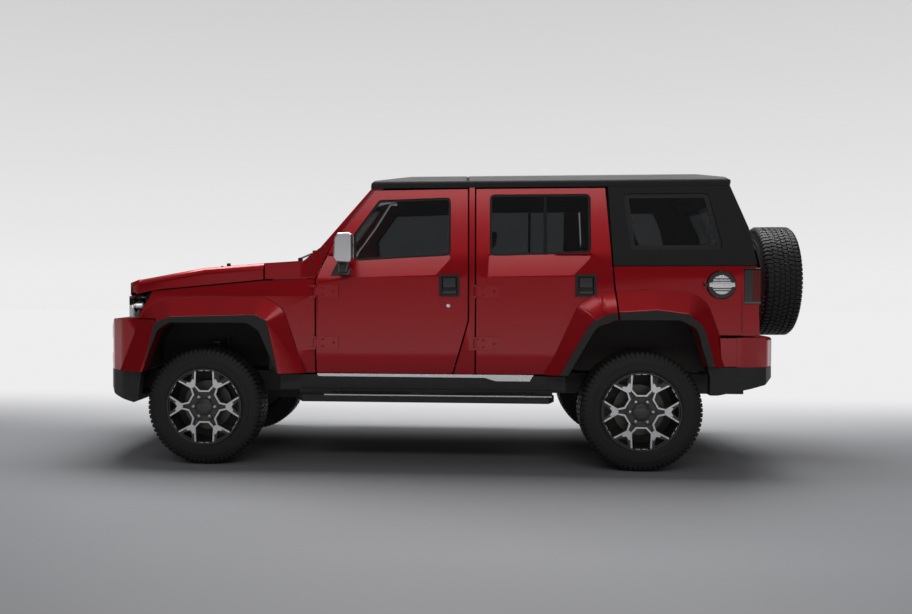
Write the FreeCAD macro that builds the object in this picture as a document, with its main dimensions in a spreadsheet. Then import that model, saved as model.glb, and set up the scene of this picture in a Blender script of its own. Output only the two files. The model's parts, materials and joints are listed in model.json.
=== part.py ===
import FreeCAD, Part
import Sketcher
import math
import os
import re

# Lifted four-door off-road estate with a hard top and a spare wheel on its side-hinged tailgate.
# Frame: the vehicle faces -X, its left side is -Y, +Z is up, and the floor is at zero.
# All lengths are in millimetres.

SIZES = {
    # wheels and their places
    "wheelbase": 2745.0,
    "front_overhang": 735.0,
    "rear_overhang": 1133.0,
    "wheel_half_track": 797.0,
    "tyre_radius": 372.5,
    "tyre_width": 250.0,
    "tyre_tread_half": 98.0,
    "tyre_wall_drop": 62.0,
    "rim_seat_radius": 229.0,
    "rim_wall": 9.0,
    "rim_lip": 3.0,
    "rim_face_depth": 30.0,
    "rim_face_inset": 14.0,
    "hub_radius": 92.0,
    "cap_radius": 55.0,
    "cap_proud": 8.0,
    "cell_inner": 100.0,
    "cell_side": 135.0,
    "cell_outer": 218.0,
    "cell_half_narrow": 28.0,
    "cell_half_wide": 56.0,
    "cell_half_outer": 50.0,
    "disc_radius": 158.0,
    "disc_thickness": 24.0,
    # body side, as heights above the floor and half widths
    "sill_z": 592.0,
    "crease_z": 735.0,
    "belt_z": 1200.0,
    "shoulder_z": 1360.0,
    "rail_z": 1768.0,
    "sill_half": 852.0,
    "crease_half": 885.0,
    "belt_half": 880.0,
    "shoulder_half": 868.0,
    "rail_half": 797.0,
    "door_inner_depth": 45.0,
    "panel_gap": 10.0,
    # doors, along the vehicle
    "axle_to_door": 720.5,
    "front_door_length": 958.0,
    "b_pillar_gap": 54.0,
    "front_door_kick_x": 96.0,
    "front_door_kick_z": 926.0,
    "a_line_low_run": 100.0,
    "a_line_low_z": 1403.0,
    "a_line_top_run": 366.0,
    "a_line_top_z": 1752.0,
    "rear_door_belt_ahead": 177.5,
    "rear_door_top_ahead": 213.5,
    "rear_door_arch_ahead": 146.5,
    "window_corner_radius": 28.0,
    "glass_thickness": 5.0,
    "glass_inset": 14.0,
    "front_window_low_x": 140.0,
    "front_window_low_z": 1304.0,
    "front_window_top_x": 396.0,
    "front_window_top_z": 1692.0,
    "front_window_rear_top_z": 1706.0,
    "front_window_rear_x": 106.0,
    "front_window_rear_z": 1338.0,
    "rear_window_front_x": 84.0,
    "rear_window_low_z": 1334.0,
    "rear_window_top_z": 1722.0,
    "rear_window_rear_ahead": 304.0,
    "rear_window_rear_z": 1351.0,
    "bevel_depth": 34.0,
    "bevel_run": 145.0,
    "handle_width": 126.0,
    "handle_height": 138.0,
    "handle_depth": 16.0,
    "handle_mid_z": 1149.0,
    "front_handle_back": 115.0,
    "rear_handle_ahead": 337.0,
    "door_hinge_out": 13.0,
    "hinge_pin_radius": 5.0,
    "hinge_barrel_radius": 11.0,
    "hinge_lug_height": 14.0,
    "running_gap": 0.3,
    "stub_radius": 32.0,
    "stub_depth": 60.0,
    "door_hinge_ahead": 5.0,
    "strap_length": 128.0,
    "strap_height": 82.0,
    "strap_depth": 14.0,
    "strap_high_z": 1112.0,
    "strap_low_z": 786.0,
    # wheel arches and flares
    "arch_low_z": 592.0,
    "front_arch_front": 398.0,
    "front_arch_rear": 480.0,
    "front_arch_shoulder_front": 291.0,
    "front_arch_shoulder_rear": 362.0,
    "front_arch_shoulder_z": 865.0,
    "front_arch_top_z": 912.0,
    "front_arch_top_front": 216.0,
    "front_arch_top_rear": 288.0,
    "rear_arch_front": 452.0,
    "rear_arch_rear": 408.0,
    "rear_arch_shoulder_front": 280.0,
    "rear_arch_shoulder_rear": 312.0,
    "rear_arch_shoulder_z": 893.0,
    "rear_arch_top_z": 937.0,
    "rear_arch_top_front": 170.0,
    "rear_arch_top_rear": 222.0,
    "flare_out": 75.0,
    "flare_slope": 55.0,
    "flare_run": 115.0,
    "rear_flare_run": 128.0,
    "flare_corner": 150.0,
    "lip_thickness": 7.0,
    "arch_corner": 60.0,
    # front end
    "hood_rear_gap_x": 372.0,
    "hood_nose_z": 1083.0,
    "hood_nose_ahead": 614.0,
    "hood_brow_ahead": 560.0,
    "hood_brow_z": 1158.0,
    "hood_crown_ahead": 460.0,
    "hood_crown_z": 1186.0,
    "hood_mid_z": 1260.0,
    "hood_rear_z": 1292.0,
    "hood_side_rear_z": 1188.0,
    "hood_half_front": 790.0,
    "hood_half": 842.0,
    "hood_skin": 28.0,
    "hood_edge_radius": 46.0,
    "hood_pin_radius": 1.6,
    "cowl_rear_z": 1306.0,
    "lamp_top_z": 1076.0,
    "lamp_low_z": 942.0,
    "lamp_top_ahead": 524.0,
    "lamp_side_top_ahead": 341.0,
    "lamp_side_low_ahead": 446.0,
    "lamp_inner_half": 540.0,
    "grille_depth": 70.0,
    "grille_bar_height": 12.0,
    "grille_bar_pitch": 30.0,
    "nose_top_z": 930.0,
    "nose_step_z": 859.0,
    "nose_mid_z": 756.0,
    "nose_low_z": 597.0,
    "nose_top_ahead": 635.0,
    "nose_low_ahead": 685.0,
    "nose_out": 25.0,
    "nose_corner": 90.0,
    "fog_inner_half": 560.0,
    "fog_outer_half": 700.0,
    "fog_low_z": 690.0,
    "fog_high_z": 800.0,
    "fog_corner": 24.0,
    "skirt_front_z": 485.0,
    "skirt_mid_z": 428.0,
    "skirt_rear_z": 391.0,
    "skirt_mid_ahead": 610.0,
    "skirt_rear_ahead": 470.0,
    # rear end
    "tail_behind": 708.0,
    "tail_belt_z": 1268.0,
    "tail_floor_z": 845.0,
    "top_rear_behind": 691.0,
    "top_upper_behind": 500.0,
    "top_bend_behind": 649.0,
    "top_bend_z": 1502.0,
    "tailgate_half": 640.0,
    "top_gate_half": 606.0,
    "gate_frame": 62.0,
    "gate_hinge_behind": 724.0,
    "gate_hinge_half": 672.0,
    "gate_hinge_low_z": 950.0,
    "gate_hinge_high_z": 1160.0,
    "quarter_front": 102.0,
    "quarter_low_front": 64.0,
    "quarter_rear": 413.0,
    "quarter_low_rear": 496.0,
    "quarter_top_z": 1722.0,
    "quarter_low_z": 1368.0,
    "tail_lamp_low_z": 1036.0,
    "tail_lamp_top_z": 1256.0,
    "tail_lamp_ahead": 93.0,
    "tail_lamp_inner_half": 706.0,
    "tail_lamp_proud": 6.0,
    "rear_bumper_behind": 811.0,
    "rear_bumper_out": 38.0,
    "rear_bumper_top_z": 832.0,
    "rear_bumper_low_z": 650.0,
    "rear_bumper_corner": 110.0,
    "rear_bumper_notch_half": 440.0,
    "rear_bumper_notch_z": 786.0,
    "rear_skirt_tip_z": 577.0,
    "rear_skirt_low_z": 477.0,
    "spare_z": 1175.0,
    "spare_mount_radius": 70.0,
    # roof
    "roof_low_z": 1768.0,
    "roof_edge_z": 1802.0,
    "roof_shoulder_z": 1846.0,
    "roof_top_z": 1868.0,
    "roof_edge_half": 800.0,
    "roof_shoulder_half": 735.0,
    "roof_corner": 36.0,
    "roof_end_corner": 26.0,
    "roof_front_run": 420.0,
    "roof_rear_run": 330.0,
    "screen_half": 708.0,
    "screen_sill_z": 1262.0,
    # sill trim and steps
    "sill_trim_low_z": 485.0,
    "step_z": 418.0,
    "step_height": 44.0,
    "step_out": 72.0,
    "step_width": 118.0,
    "step_front_behind": 620.0,
    "step_rear_ahead": 525.0,
    "step_bracket": 60.0,
    # mirrors
    "mirror_out": 1085.0,
    "mirror_in": 925.0,
    "mirror_low_z": 1300.0,
    "mirror_high_z": 1478.0,
    "mirror_front_x": 135.0,
    "mirror_depth": 112.0,
    "mirror_radius": 26.0,
    "mirror_foot_z": 1206.0,
    "mirror_foot_width": 120.0,
    # cabin
    "floor_z": 600.0,
    "floor_thickness": 30.0,
    "floor_half": 750.0,
    "load_floor_z": 800.0,
    "load_floor_ahead": -80.0,
    "firewall_thickness": 26.0,
    "house_half": 590.0,
    "seat_width": 500.0,
    "seat_gap_half": 130.0,
    "seat_front_x": 505.0,
    "seat_base_z": 800.0,
    "seat_cushion": 130.0,
    "seat_length": 500.0,
    "seat_back_height": 600.0,
    "seat_back_lean": 130.0,
    "rear_seat_half": 575.0,
    "dash_low_z": 820.0,
    "dash_top_z": 1180.0,
    "dash_depth": 300.0,
    "dash_half": 740.0,
    "wheel_rim_radius": 190.0,
    "wheel_rim_tube": 15.0,
    "wheel_hub_radius": 58.0,
    "wheel_y": 380.0,
    "wheel_z": 1085.0,
    "cage_half": 650.0,
    # chassis and running gear
    "rail_half_gap": 400.0,
    "rail_width": 80.0,
    "rail_low_z": 440.0,
    "rail_height": 130.0,
    "rail_front_ahead": 580.0,
    "rail_rear_behind": 720.7,
    "cross_width": 90.0,
    "engine_length": 620.0,
    "engine_width": 520.0,
    "engine_height": 440.0,
    "engine_low_z": 560.0,
    "gearbox_width": 300.0,
    "gearbox_height": 260.0,
    "gearbox_length": 700.0,
    "shaft_radius": 34.0,
    "axle_tube_radius": 42.0,
    "diff_radius": 135.0,
    "diff_length": 130.0,
    "muffler_radius": 95.0,
    "muffler_length": 480.0,
    "tank_length": 620.0,
    "tank_width": 320.0,
    "tank_height": 200.0,
    "fuel_flap_radius": 84.0,
    "fuel_flap_depth": 12.0,
    "fuel_flap_behind": 478.0,
    "fuel_flap_z": 1154.0,
}

# Places that follow from the driving sizes.
DERIVED = {
    "flare_half": "belt_half + flare_out",
    "nose_half": "belt_half + nose_out",
    "rear_bumper_half": "belt_half + rear_bumper_out",
    "step_half": "belt_half + step_out",
    "length_total": "front_overhang + wheelbase + rear_overhang",
    "front_axle_x": "front_overhang - length_total/2",
    "rear_axle_x": "front_axle_x + wheelbase",
    "door_x": "front_axle_x + axle_to_door",
    "door_end_x": "door_x + front_door_length",
    "rear_door_x": "door_end_x + b_pillar_gap",
    "tail_x": "rear_axle_x + tail_behind",
    "hood_rear_x": "front_axle_x + hood_rear_gap_x",
}

DOC = FreeCAD.newDocument("lifted_off_road_4x4")
SHEET = DOC.addObject("Spreadsheet::Sheet", "sizes")
for row, (alias, value) in enumerate(SIZES.items(), start=1):
    SHEET.set("A%d" % row, str(value))
    SHEET.setAlias("A%d" % row, alias)
DOC.recompute()

PIECES = {}
WORD = re.compile(r"[a-z_]+")


def spelled(text):
    """The formula with every derived place written out in driving sizes."""
    text = str(text)
    while any(word in DERIVED for word in WORD.findall(text)):
        text = WORD.sub(lambda m: "(%s)" % DERIVED[m.group()] if m.group() in DERIVED else m.group(), text)
    return text


def formula(text):
    """The same formula as the document's expression engine reads it."""
    return WORD.sub(lambda m: "sizes." + m.group() if m.group() in SIZES else m.group(), spelled(text))


def number(text):
    """The formula's value now, in millimetres."""
    return float(worked_out(spelled(text)))


def worked_out(text):
    """Works out a formula of named sizes, numbers, brackets and the four operations."""
    tokens = re.findall(r"[a-z_]+|[0-9.]+|[-+*/()]", text)
    place = [0]

    def peek():
        return tokens[place[0]] if place[0] < len(tokens) else None

    def take():
        place[0] += 1
        return tokens[place[0] - 1]

    def factor():
        token = take()
        if token == "-":
            return -factor()
        if token == "+":
            return factor()
        if token == "(":
            value = total()
            take()
            return value
        return SIZES[token] if token in SIZES else float(token)

    def product():
        value = factor()
        while peek() in ("*", "/"):
            value = value * factor() if take() == "*" else value / factor()
        return value

    def total():
        value = product()
        while peek() in ("+", "-"):
            value = value + product() if take() == "+" else value - product()
        return value

    return total()


def bind(thing, prop, text):
    thing.setExpression(prop, formula(text))


def origin_plane(body, role):
    return [f for f in body.Origin.OriginFeatures if f.Role == role][0]


def sketch(body, name, role, offset, points):
    """A closed outline of straight edges, each corner placed by two named constraints."""
    outline = body.newObject("Sketcher::SketchObject", name)
    outline.AttachmentSupport = [(origin_plane(body, role), "")]
    outline.MapMode = "FlatFace"
    bind(outline, "AttachmentOffset.Base.z", offset)
    places = [(number(u), number(v)) for u, v in points]
    count = len(places)
    for i in range(count):
        u, v = places[i], places[(i + 1) % count]
        outline.addGeometry(Part.LineSegment(FreeCAD.Vector(*u, 0), FreeCAD.Vector(*v, 0)), False)
    rules = [Sketcher.Constraint("Coincident", i, 2, (i + 1) % count, 1) for i in range(count)]
    for i, (u, v) in enumerate(places):
        rules.append(Sketcher.Constraint("DistanceX", -1, 1, i, 1, u))
        rules.append(Sketcher.Constraint("DistanceY", -1, 1, i, 1, v))
    outline.addConstraint(rules)
    for i, (u, v) in enumerate(points):
        bind(outline, "Constraints[%d]" % (count + 2 * i), u)
        bind(outline, "Constraints[%d]" % (count + 2 * i + 1), v)
    return outline


def slab(name, role, points, low, high):
    """An outline on a main plane, padded from low to high along that plane's own axis."""
    body = DOC.addObject("PartDesign::Body", name)
    offset = "-(%s)" % high if role == "XZ_Plane" else low
    outline = sketch(body, name + "_outline", role, offset, points)
    pad = body.newObject("PartDesign::Pad", name + "_pad")
    pad.Profile = outline
    bind(pad, "Length", "(%s) - (%s)" % (high, low))
    return body


def side_slab(name, points, low, high):
    return slab(name, "XZ_Plane", points, low, high)


def box(name, x, y, z):
    """A block between the two formulas given for each axis."""
    block = DOC.addObject("Part::Box", name)
    for prop, axis, (low, high) in (("Length", "x", x), ("Width", "y", y), ("Height", "z", z)):
        bind(block, prop, "(%s) - (%s)" % (high, low))
        bind(block, "Placement.Base." + axis, low)
    return block


AXIS_Z = FreeCAD.Vector(0, 0, 1)
AXES = {
    "X": FreeCAD.Rotation(FreeCAD.Vector(0, 1, 0), 90),
    "Y": FreeCAD.Rotation(FreeCAD.Vector(1, 0, 0), -90),
    "Z": FreeCAD.Rotation(),
}


def cylinder(name, axis, radius, length, x, y, z):
    """A cylinder that starts at (x, y, z) and runs along the positive axis."""
    rod = DOC.addObject("Part::Cylinder", name)
    rod.Placement = FreeCAD.Placement(FreeCAD.Vector(), AXES[axis])
    bind(rod, "Radius", radius)
    bind(rod, "Height", length)
    for letter, text in (("x", x), ("y", y), ("z", z)):
        bind(rod, "Placement.Base." + letter, text)
    return rod


def prism(name, axis, sides, radius, length, x, y, z, turn=0.0):
    """A bar with flat sides that starts at (x, y, z) and runs along the positive axis."""
    bar = DOC.addObject("Part::Prism", name)
    bar.Polygon = sides
    bar.Placement = FreeCAD.Placement(FreeCAD.Vector(), AXES[axis].multiply(FreeCAD.Rotation(AXIS_Z, turn)))
    bind(bar, "Circumradius", radius)
    bind(bar, "Height", length)
    for letter, text in (("x", x), ("y", y), ("z", z)):
        bind(bar, "Placement.Base." + letter, text)
    return bar


def bevelled(name, base, across, down, wanted):
    """The base with the wanted edges cut back: down one face and across the other."""
    DOC.recompute()
    slope = DOC.addObject("Part::Chamfer", name)
    slope.Base = base
    sizes = (number(across), number(down))
    slope.Edges = [(i,) + sizes for i, e in enumerate(base.Shape.Edges, start=1) if wanted(e)]
    return slope


def joined(name, parts):
    whole = DOC.addObject("Part::MultiFuse", name)
    whole.Shapes = parts
    whole.Refine = True
    return whole


def cut(name, base, tools):
    """The base less each tool."""
    for i, tool in enumerate(tools):
        less = DOC.addObject("Part::Cut", "%s_%d" % (name, i) if i < len(tools) - 1 else name)
        less.Base = base
        less.Tool = tool
        less.Refine = True
        base = less
    return base


def shared(name, one, two):
    both = DOC.addObject("Part::Common", name)
    both.Base = one
    both.Tool = two
    both.Refine = True
    return both


def mirrored(name, source):
    other = DOC.addObject("Part::Mirroring", name)
    other.Source = source
    other.Base = FreeCAD.Vector(0, 0, 0)
    other.Normal = FreeCAD.Vector(0, 1, 0)
    return other


def group(name, parts):
    """Like pieces that do not touch, kept as one node."""
    bundle = DOC.addObject("Part::Compound", name)
    bundle.Links = parts
    return bundle


def rounded(name, base, radius, wanted):
    """The base with the wanted edges rounded; wanted reads an edge."""
    DOC.recompute()
    ball = DOC.addObject("Part::Fillet", name)
    ball.Base = base
    size = number(radius)
    ball.Edges = [(i, size, size) for i, e in enumerate(base.Shape.Edges, start=1) if wanted(e)]
    return ball


def along(axis):
    """Picks straight edges that run along one axis."""

    def wanted(edge):
        if len(edge.Vertexes) != 2 or edge.Curve.TypeId != "Part::GeomLine":
            return False
        run = edge.Vertexes[1].Point - edge.Vertexes[0].Point
        return abs(abs(run.dot(axis)) - run.Length) < 1e-6

    return wanted


X = FreeCAD.Vector(1, 0, 0)
Y = FreeCAD.Vector(0, 1, 0)
Z = FreeCAD.Vector(0, 0, 1)


def piece(name, thing):
    PIECES[name] = thing
    thing.Label = name
    return thing


# Shapes used more than once

WIDE_LOW = "-1200"
WIDE_HIGH = "-500"

FRONT_ARCH = [
    ("front_axle_x - front_arch_front", "300"),
    ("front_axle_x - front_arch_front", "arch_low_z"),
    ("front_axle_x - front_arch_shoulder_front", "front_arch_shoulder_z"),
    ("front_axle_x - front_arch_top_front", "front_arch_top_z"),
    ("front_axle_x + front_arch_top_rear", "front_arch_top_z"),
    ("front_axle_x + front_arch_shoulder_rear", "front_arch_shoulder_z"),
    ("front_axle_x + front_arch_rear", "arch_low_z"),
    ("front_axle_x + front_arch_rear", "300"),
]
REAR_ARCH = [
    ("rear_axle_x - rear_arch_front", "300"),
    ("rear_axle_x - rear_arch_front", "arch_low_z"),
    ("rear_axle_x - rear_arch_shoulder_front", "rear_arch_shoulder_z"),
    ("rear_axle_x - rear_arch_top_front", "rear_arch_top_z"),
    ("rear_axle_x + rear_arch_top_rear", "rear_arch_top_z"),
    ("rear_axle_x + rear_arch_shoulder_rear", "rear_arch_shoulder_z"),
    ("rear_axle_x + rear_arch_rear", "arch_low_z"),
    ("rear_axle_x + rear_arch_rear", "300"),
]
FRONT_CREASE = [
    ("front_axle_x - 560", "arch_low_z"),
    ("front_axle_x - 400", "998"),
    ("front_axle_x - 240", "1064"),
    ("front_axle_x + 366", "1080"),
    ("front_axle_x + 505", "1012"),
    ("front_axle_x + 647", "arch_low_z"),
]
REAR_CREASE = [
    ("rear_axle_x - 582", "arch_low_z"),
    ("rear_axle_x - 384", "1026"),
    ("rear_axle_x - 270", "1106"),
    ("rear_axle_x + 90", "1128"),
    ("rear_axle_x + 320", "1098"),
    ("rear_axle_x + 396", "1046"),
    ("rear_axle_x + 560", "arch_low_z"),
]
FRONT_DOOR = [
    ("door_x", "sill_z"),
    ("door_x", "belt_z - 10"),
    ("door_x + a_line_low_run", "a_line_low_z"),
    ("door_x + a_line_top_run", "a_line_top_z"),
    ("door_end_x", "a_line_top_z + 6"),
    ("door_end_x", "front_door_kick_z"),
    ("door_end_x - front_door_kick_x", "sill_z"),
]
REAR_DOOR = [
    ("rear_door_x", "sill_z"),
    ("rear_door_x", "a_line_top_z + 6"),
    ("rear_axle_x - rear_door_top_ahead", "a_line_top_z + 6"),
    ("rear_axle_x - rear_door_belt_ahead", "1272"),
    ("rear_axle_x - rear_door_arch_ahead", "rear_arch_top_z - 20"),
    ("rear_axle_x - rear_door_arch_ahead", "rear_arch_top_z - 60"),
    ("rear_axle_x - rear_arch_shoulder_front + 40", "700"),
    ("rear_axle_x - rear_arch_front", "sill_z"),
]
FRONT_WINDOW = [
    ("door_x + front_window_low_x + 100", "front_window_low_z"),
    ("door_x + front_window_low_x + 97", "front_window_low_z + 170"),
    ("door_x + front_window_top_x", "front_window_top_z"),
    ("door_end_x - front_window_rear_x", "front_window_rear_top_z"),
    ("door_end_x - front_window_rear_x", "front_window_rear_z"),
]
REAR_WINDOW = [
    ("rear_door_x + rear_window_front_x", "rear_window_low_z"),
    ("rear_door_x + rear_window_front_x", "rear_window_top_z"),
    ("rear_axle_x - rear_window_rear_ahead", "rear_window_top_z"),
    ("rear_axle_x - rear_window_rear_ahead", "rear_window_rear_z"),
]
QUARTER_WINDOW = [
    ("rear_axle_x - quarter_front", "quarter_top_z"),
    ("rear_axle_x + quarter_rear", "quarter_top_z"),
    ("rear_axle_x + quarter_low_rear", "quarter_low_z"),
    ("rear_axle_x - quarter_low_front", "quarter_low_z"),
]


def grown(points, by):
    """The outline pushed out by one distance from its middle line, corner by corner."""
    places = [(number(u), number(v)) for u, v in points]
    count = len(places)
    area = sum(places[i][0] * places[(i + 1) % count][1] - places[(i + 1) % count][0] * places[i][1]
               for i in range(count))
    turn = 1.0 if area > 0 else -1.0
    out = []
    for i in range(count):
        a, b, c = places[i - 1], places[i], places[(i + 1) % count]
        one = (b[0] - a[0], b[1] - a[1])
        two = (c[0] - b[0], c[1] - b[1])
        first = (turn * one[1] / math.hypot(*one), -turn * one[0] / math.hypot(*one))
        second = (turn * two[1] / math.hypot(*two), -turn * two[0] / math.hypot(*two))
        share = 1.0 + first[0] * second[0] + first[1] * second[1]
        shift = ((first[0] + second[0]) / share * by, (first[1] + second[1]) / share * by)
        out.append(("%s + %.3f" % (points[i][0], shift[0]), "%s + %.3f" % (points[i][1], shift[1])))
    return [(u.replace("+ -", "- "), v.replace("+ -", "- ")) for u, v in out]


def eased(points, radius, steps=2, kept=()):
    """The outline with its corners rounded by short chords, apart from the kept ones."""
    places = [(number(u), number(v)) for u, v in points]
    size = number(radius)
    count = len(places)
    out = []
    for i in range(count):
        a, b, c = places[i - 1], places[i], places[(i + 1) % count]
        one = (b[0] - a[0], b[1] - a[1])
        two = (c[0] - b[0], c[1] - b[1])
        heading = math.atan2(one[1], one[0])
        turn = (math.atan2(two[1], two[0]) - heading + math.pi) % (2 * math.pi) - math.pi
        if i in kept or i - count in kept or abs(turn) < 0.1:
            out.append(points[i])
            continue
        back = size * math.tan(abs(turn) / 2)
        side = 1.0 if turn > 0 else -1.0
        first = (-back * math.cos(heading), -back * math.sin(heading))
        middle = (first[0] - side * size * math.sin(heading), first[1] + side * size * math.cos(heading))
        for k in range(steps + 1):
            at = heading + turn * k / steps
            shift = (middle[0] + side * size * math.sin(at), middle[1] - side * size * math.cos(at))
            out.append(("%s + %.3f" % (points[i][0], shift[0]), "%s + %.3f" % (points[i][1], shift[1])))
    return [(u.replace("+ -", "- "), v.replace("+ -", "- ")) for u, v in out]


def skin(name, low, high, deep, thin):
    """The left body side as a wall: deep below the belt, thin in the window frames."""
    return slab(name, "YZ_Plane", [
        ("-sill_half", "sill_z"),
        ("-crease_half", "crease_z"),
        ("-belt_half", "belt_z"),
        ("-shoulder_half", "shoulder_z"),
        ("-rail_half", "rail_z"),
        ("-(rail_half - (%s))" % thin, "rail_z"),
        ("-(shoulder_half - (%s))" % thin, "shoulder_z"),
        ("-(belt_half - (%s))" % deep, "belt_z"),
        ("-(crease_half - (%s))" % deep, "crease_z"),
        ("-(sill_half - (%s))" % deep, "sill_z"),
    ], low, high)


def pane(name, points, half_low, z_low, half_high, z_high):
    """A sheet of glass that leans in with the body side, cut to an outline."""
    sheet = slab(name + "_sheet", "YZ_Plane", [
        ("-(%s)" % half_low, z_low),
        ("-(%s)" % half_high, z_high),
        ("-((%s) - glass_thickness)" % half_high, z_high),
        ("-((%s) - glass_thickness)" % half_low, z_low),
    ], "front_axle_x", "tail_x")
    return shared(name, sheet, cut_edge(name + "_edge", points, "window_corner_radius"))


def both(name, left):
    """The left piece and its mirror image, together as one node."""
    return piece(name, group(name, [left, mirrored(name + "_right", left)]))


def cut_edge(name, outline, corner=None, low=WIDE_LOW, high=WIDE_HIGH):
    """A wide block with a side outline, its corners rounded where a radius is given."""
    return side_slab(name, eased(outline, corner) if corner else outline, low, high)


def arch_opening(name, outline, low=WIDE_LOW, high=WIDE_HIGH):
    """The wheel opening, its upper corners rounded."""
    return side_slab(name, eased(outline, "arch_corner", 2, (0, 1, -1, -2)), low, high)


def flare_block(name, crease, run):
    """A flare over a wheel: a shelf out from the body side, then a slope down to the lip."""
    low = number("arch_low_z") + 1
    shelf = rounded(name + "_shelf", side_slab(name + "_sharp", crease, "-flare_half", "-(belt_half - 40)"),
                    "flare_corner", lambda edge: along(Y)(edge) and edge.CenterOfMass.z > low)
    return bevelled(name, shelf, "flare_slope", run,
                    lambda edge: abs(edge.BoundBox.YMax + number("flare_half")) < 0.01 and edge.CenterOfMass.z > low)


# Wheels

TYRE_SIDES = 36
RIM_SIDES = 18
HUB_SIDES = 10


def wheel_tyre(name):
    """A tyre with flat treads, its shoulders sloped down to the side walls, open for the rim."""
    round_part = prism(name + "_round", "Y", TYRE_SIDES, "tyre_radius/%.6f" % math.cos(math.pi / TYRE_SIDES),
                       "tyre_width", "0", "-tyre_width/2", "0", 180.0 / TYRE_SIDES)
    walls = bevelled(name + "_walls", round_part, "tyre_width/2 - tyre_tread_half", "tyre_wall_drop",
                     lambda edge: abs(edge.BoundBox.YLength) < 0.01)
    opening = prism(name + "_opening", "Y", RIM_SIDES, "rim_seat_radius", "tyre_width + 2", "0",
                    "-tyre_width/2 - 1", "0")
    return cut(name, walls, [opening])


def spun(name, tool, turns):
    """Copies of a tool turned about the wheel's axis, one for each angle."""
    DOC.recompute()
    copies = []
    for angle in turns:
        copy = DOC.addObject("Part::Feature", "%s_at_%d" % (name, angle))
        copy.Shape = tool.Shape.copy()
        copy.Placement = FreeCAD.Placement(FreeCAD.Vector(), FreeCAD.Rotation(Y, angle))
        copies.append(copy)
    return copies


def wheel_rim(name, braked):
    """The rim with its spoked face toward -Y and its hub, on the road with the brake disc behind."""
    def ring(part, radius, low, high):
        return prism(name + part, "Y", RIM_SIDES, radius, "(%s) - (%s)" % (high, low), "0", low, "0")
    outside = ring("_outside", "rim_seat_radius", "-(tyre_width/2 + rim_lip)", "tyre_width/2 - 14")
    well = ring("_well", "rim_seat_radius - rim_wall", "-(tyre_width/2 + 20)", "tyre_width/2")
    barrel = cut(name + "_barrel", outside, [well])
    face = ring("_face", "rim_seat_radius - 4", "-(tyre_width/2 - rim_face_inset)",
                "-(tyre_width/2 - rim_face_inset - rim_face_depth)")
    cell = side_slab(name + "_cell", [
        ("-cell_half_narrow", "cell_inner"),
        ("-cell_half_wide", "cell_side"),
        ("-cell_half_outer", "cell_outer"),
        ("cell_half_outer", "cell_outer"),
        ("cell_half_wide", "cell_side"),
        ("cell_half_narrow", "cell_inner"),
    ], "-tyre_width/2", "0")
    cells = spun(name + "_cell", cell, range(0, 360, 60))
    open_face = cut(name + "_open", face, cells)
    hub = prism(name + "_hub", "Y", HUB_SIDES, "hub_radius", "tyre_width/2 - rim_face_inset - 2", "0",
                "-(tyre_width/2 - rim_face_inset - 2)", "0")
    cap = prism(name + "_cap", "Y", HUB_SIDES, "cap_radius", "cap_proud + 10", "0",
                "-(tyre_width/2 - rim_face_inset + cap_proud)", "0")
    if not braked:
        return joined(name + "_whole", [barrel, open_face, hub, cap])
    disc = prism(name + "_disc", "Y", 12, "disc_radius", "disc_thickness", "0", "-disc_thickness", "0")
    bore = prism(name + "_bore", "Y", HUB_SIDES, "(stub_radius + running_gap)/%.6f" % math.cos(math.pi / HUB_SIDES),
                 "stub_depth + running_gap + 1", "0", "-(stub_depth + running_gap)", "0")
    return cut(name + "_bored", joined(name + "_whole", [barrel, open_face, hub, cap, disc]), [bore])


def placed(name, source, x, y, z, turn=None):
    """A copy of a finished shape at a place given by three formulas."""
    DOC.recompute()
    copy = DOC.addObject("Part::Feature", name)
    copy.Shape = source.Shape.copy()
    copy.Placement = FreeCAD.Placement(FreeCAD.Vector(), turn or FreeCAD.Rotation())
    for letter, text in (("x", x), ("y", y), ("z", z)):
        bind(copy, "Placement.Base." + letter, text)
    return copy


TYRE = wheel_tyre("tyre_form")
RIM = wheel_rim("rim_form", True)
SPARE_RIM = wheel_rim("spare_rim_form", False)
HALF_TURN = FreeCAD.Rotation(Z, 180)
REARWARD = FreeCAD.Rotation(Z, 90)
for place, x, side in (("front_left", "front_axle_x", -1), ("front_right", "front_axle_x", 1),
                       ("rear_left", "rear_axle_x", -1), ("rear_right", "rear_axle_x", 1)):
    y = "-wheel_half_track" if side < 0 else "wheel_half_track"
    turn = None if side < 0 else HALF_TURN
    piece("tyre_" + place, placed("tyre_" + place, TYRE, x, y, "tyre_radius", turn))
    piece("rim_" + place, placed("rim_" + place, RIM, x, y, "tyre_radius", turn))
SPARE_X = "rear_axle_x + rear_overhang - tyre_width/2"
piece("spare_tyre", placed("spare_tyre", TYRE, SPARE_X, "0", "spare_z", REARWARD))
piece("spare_rim", placed("spare_rim", SPARE_RIM, SPARE_X, "0", "spare_z", REARWARD))

# Knuckles: upright, stub, caliper block and steering arm

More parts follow.
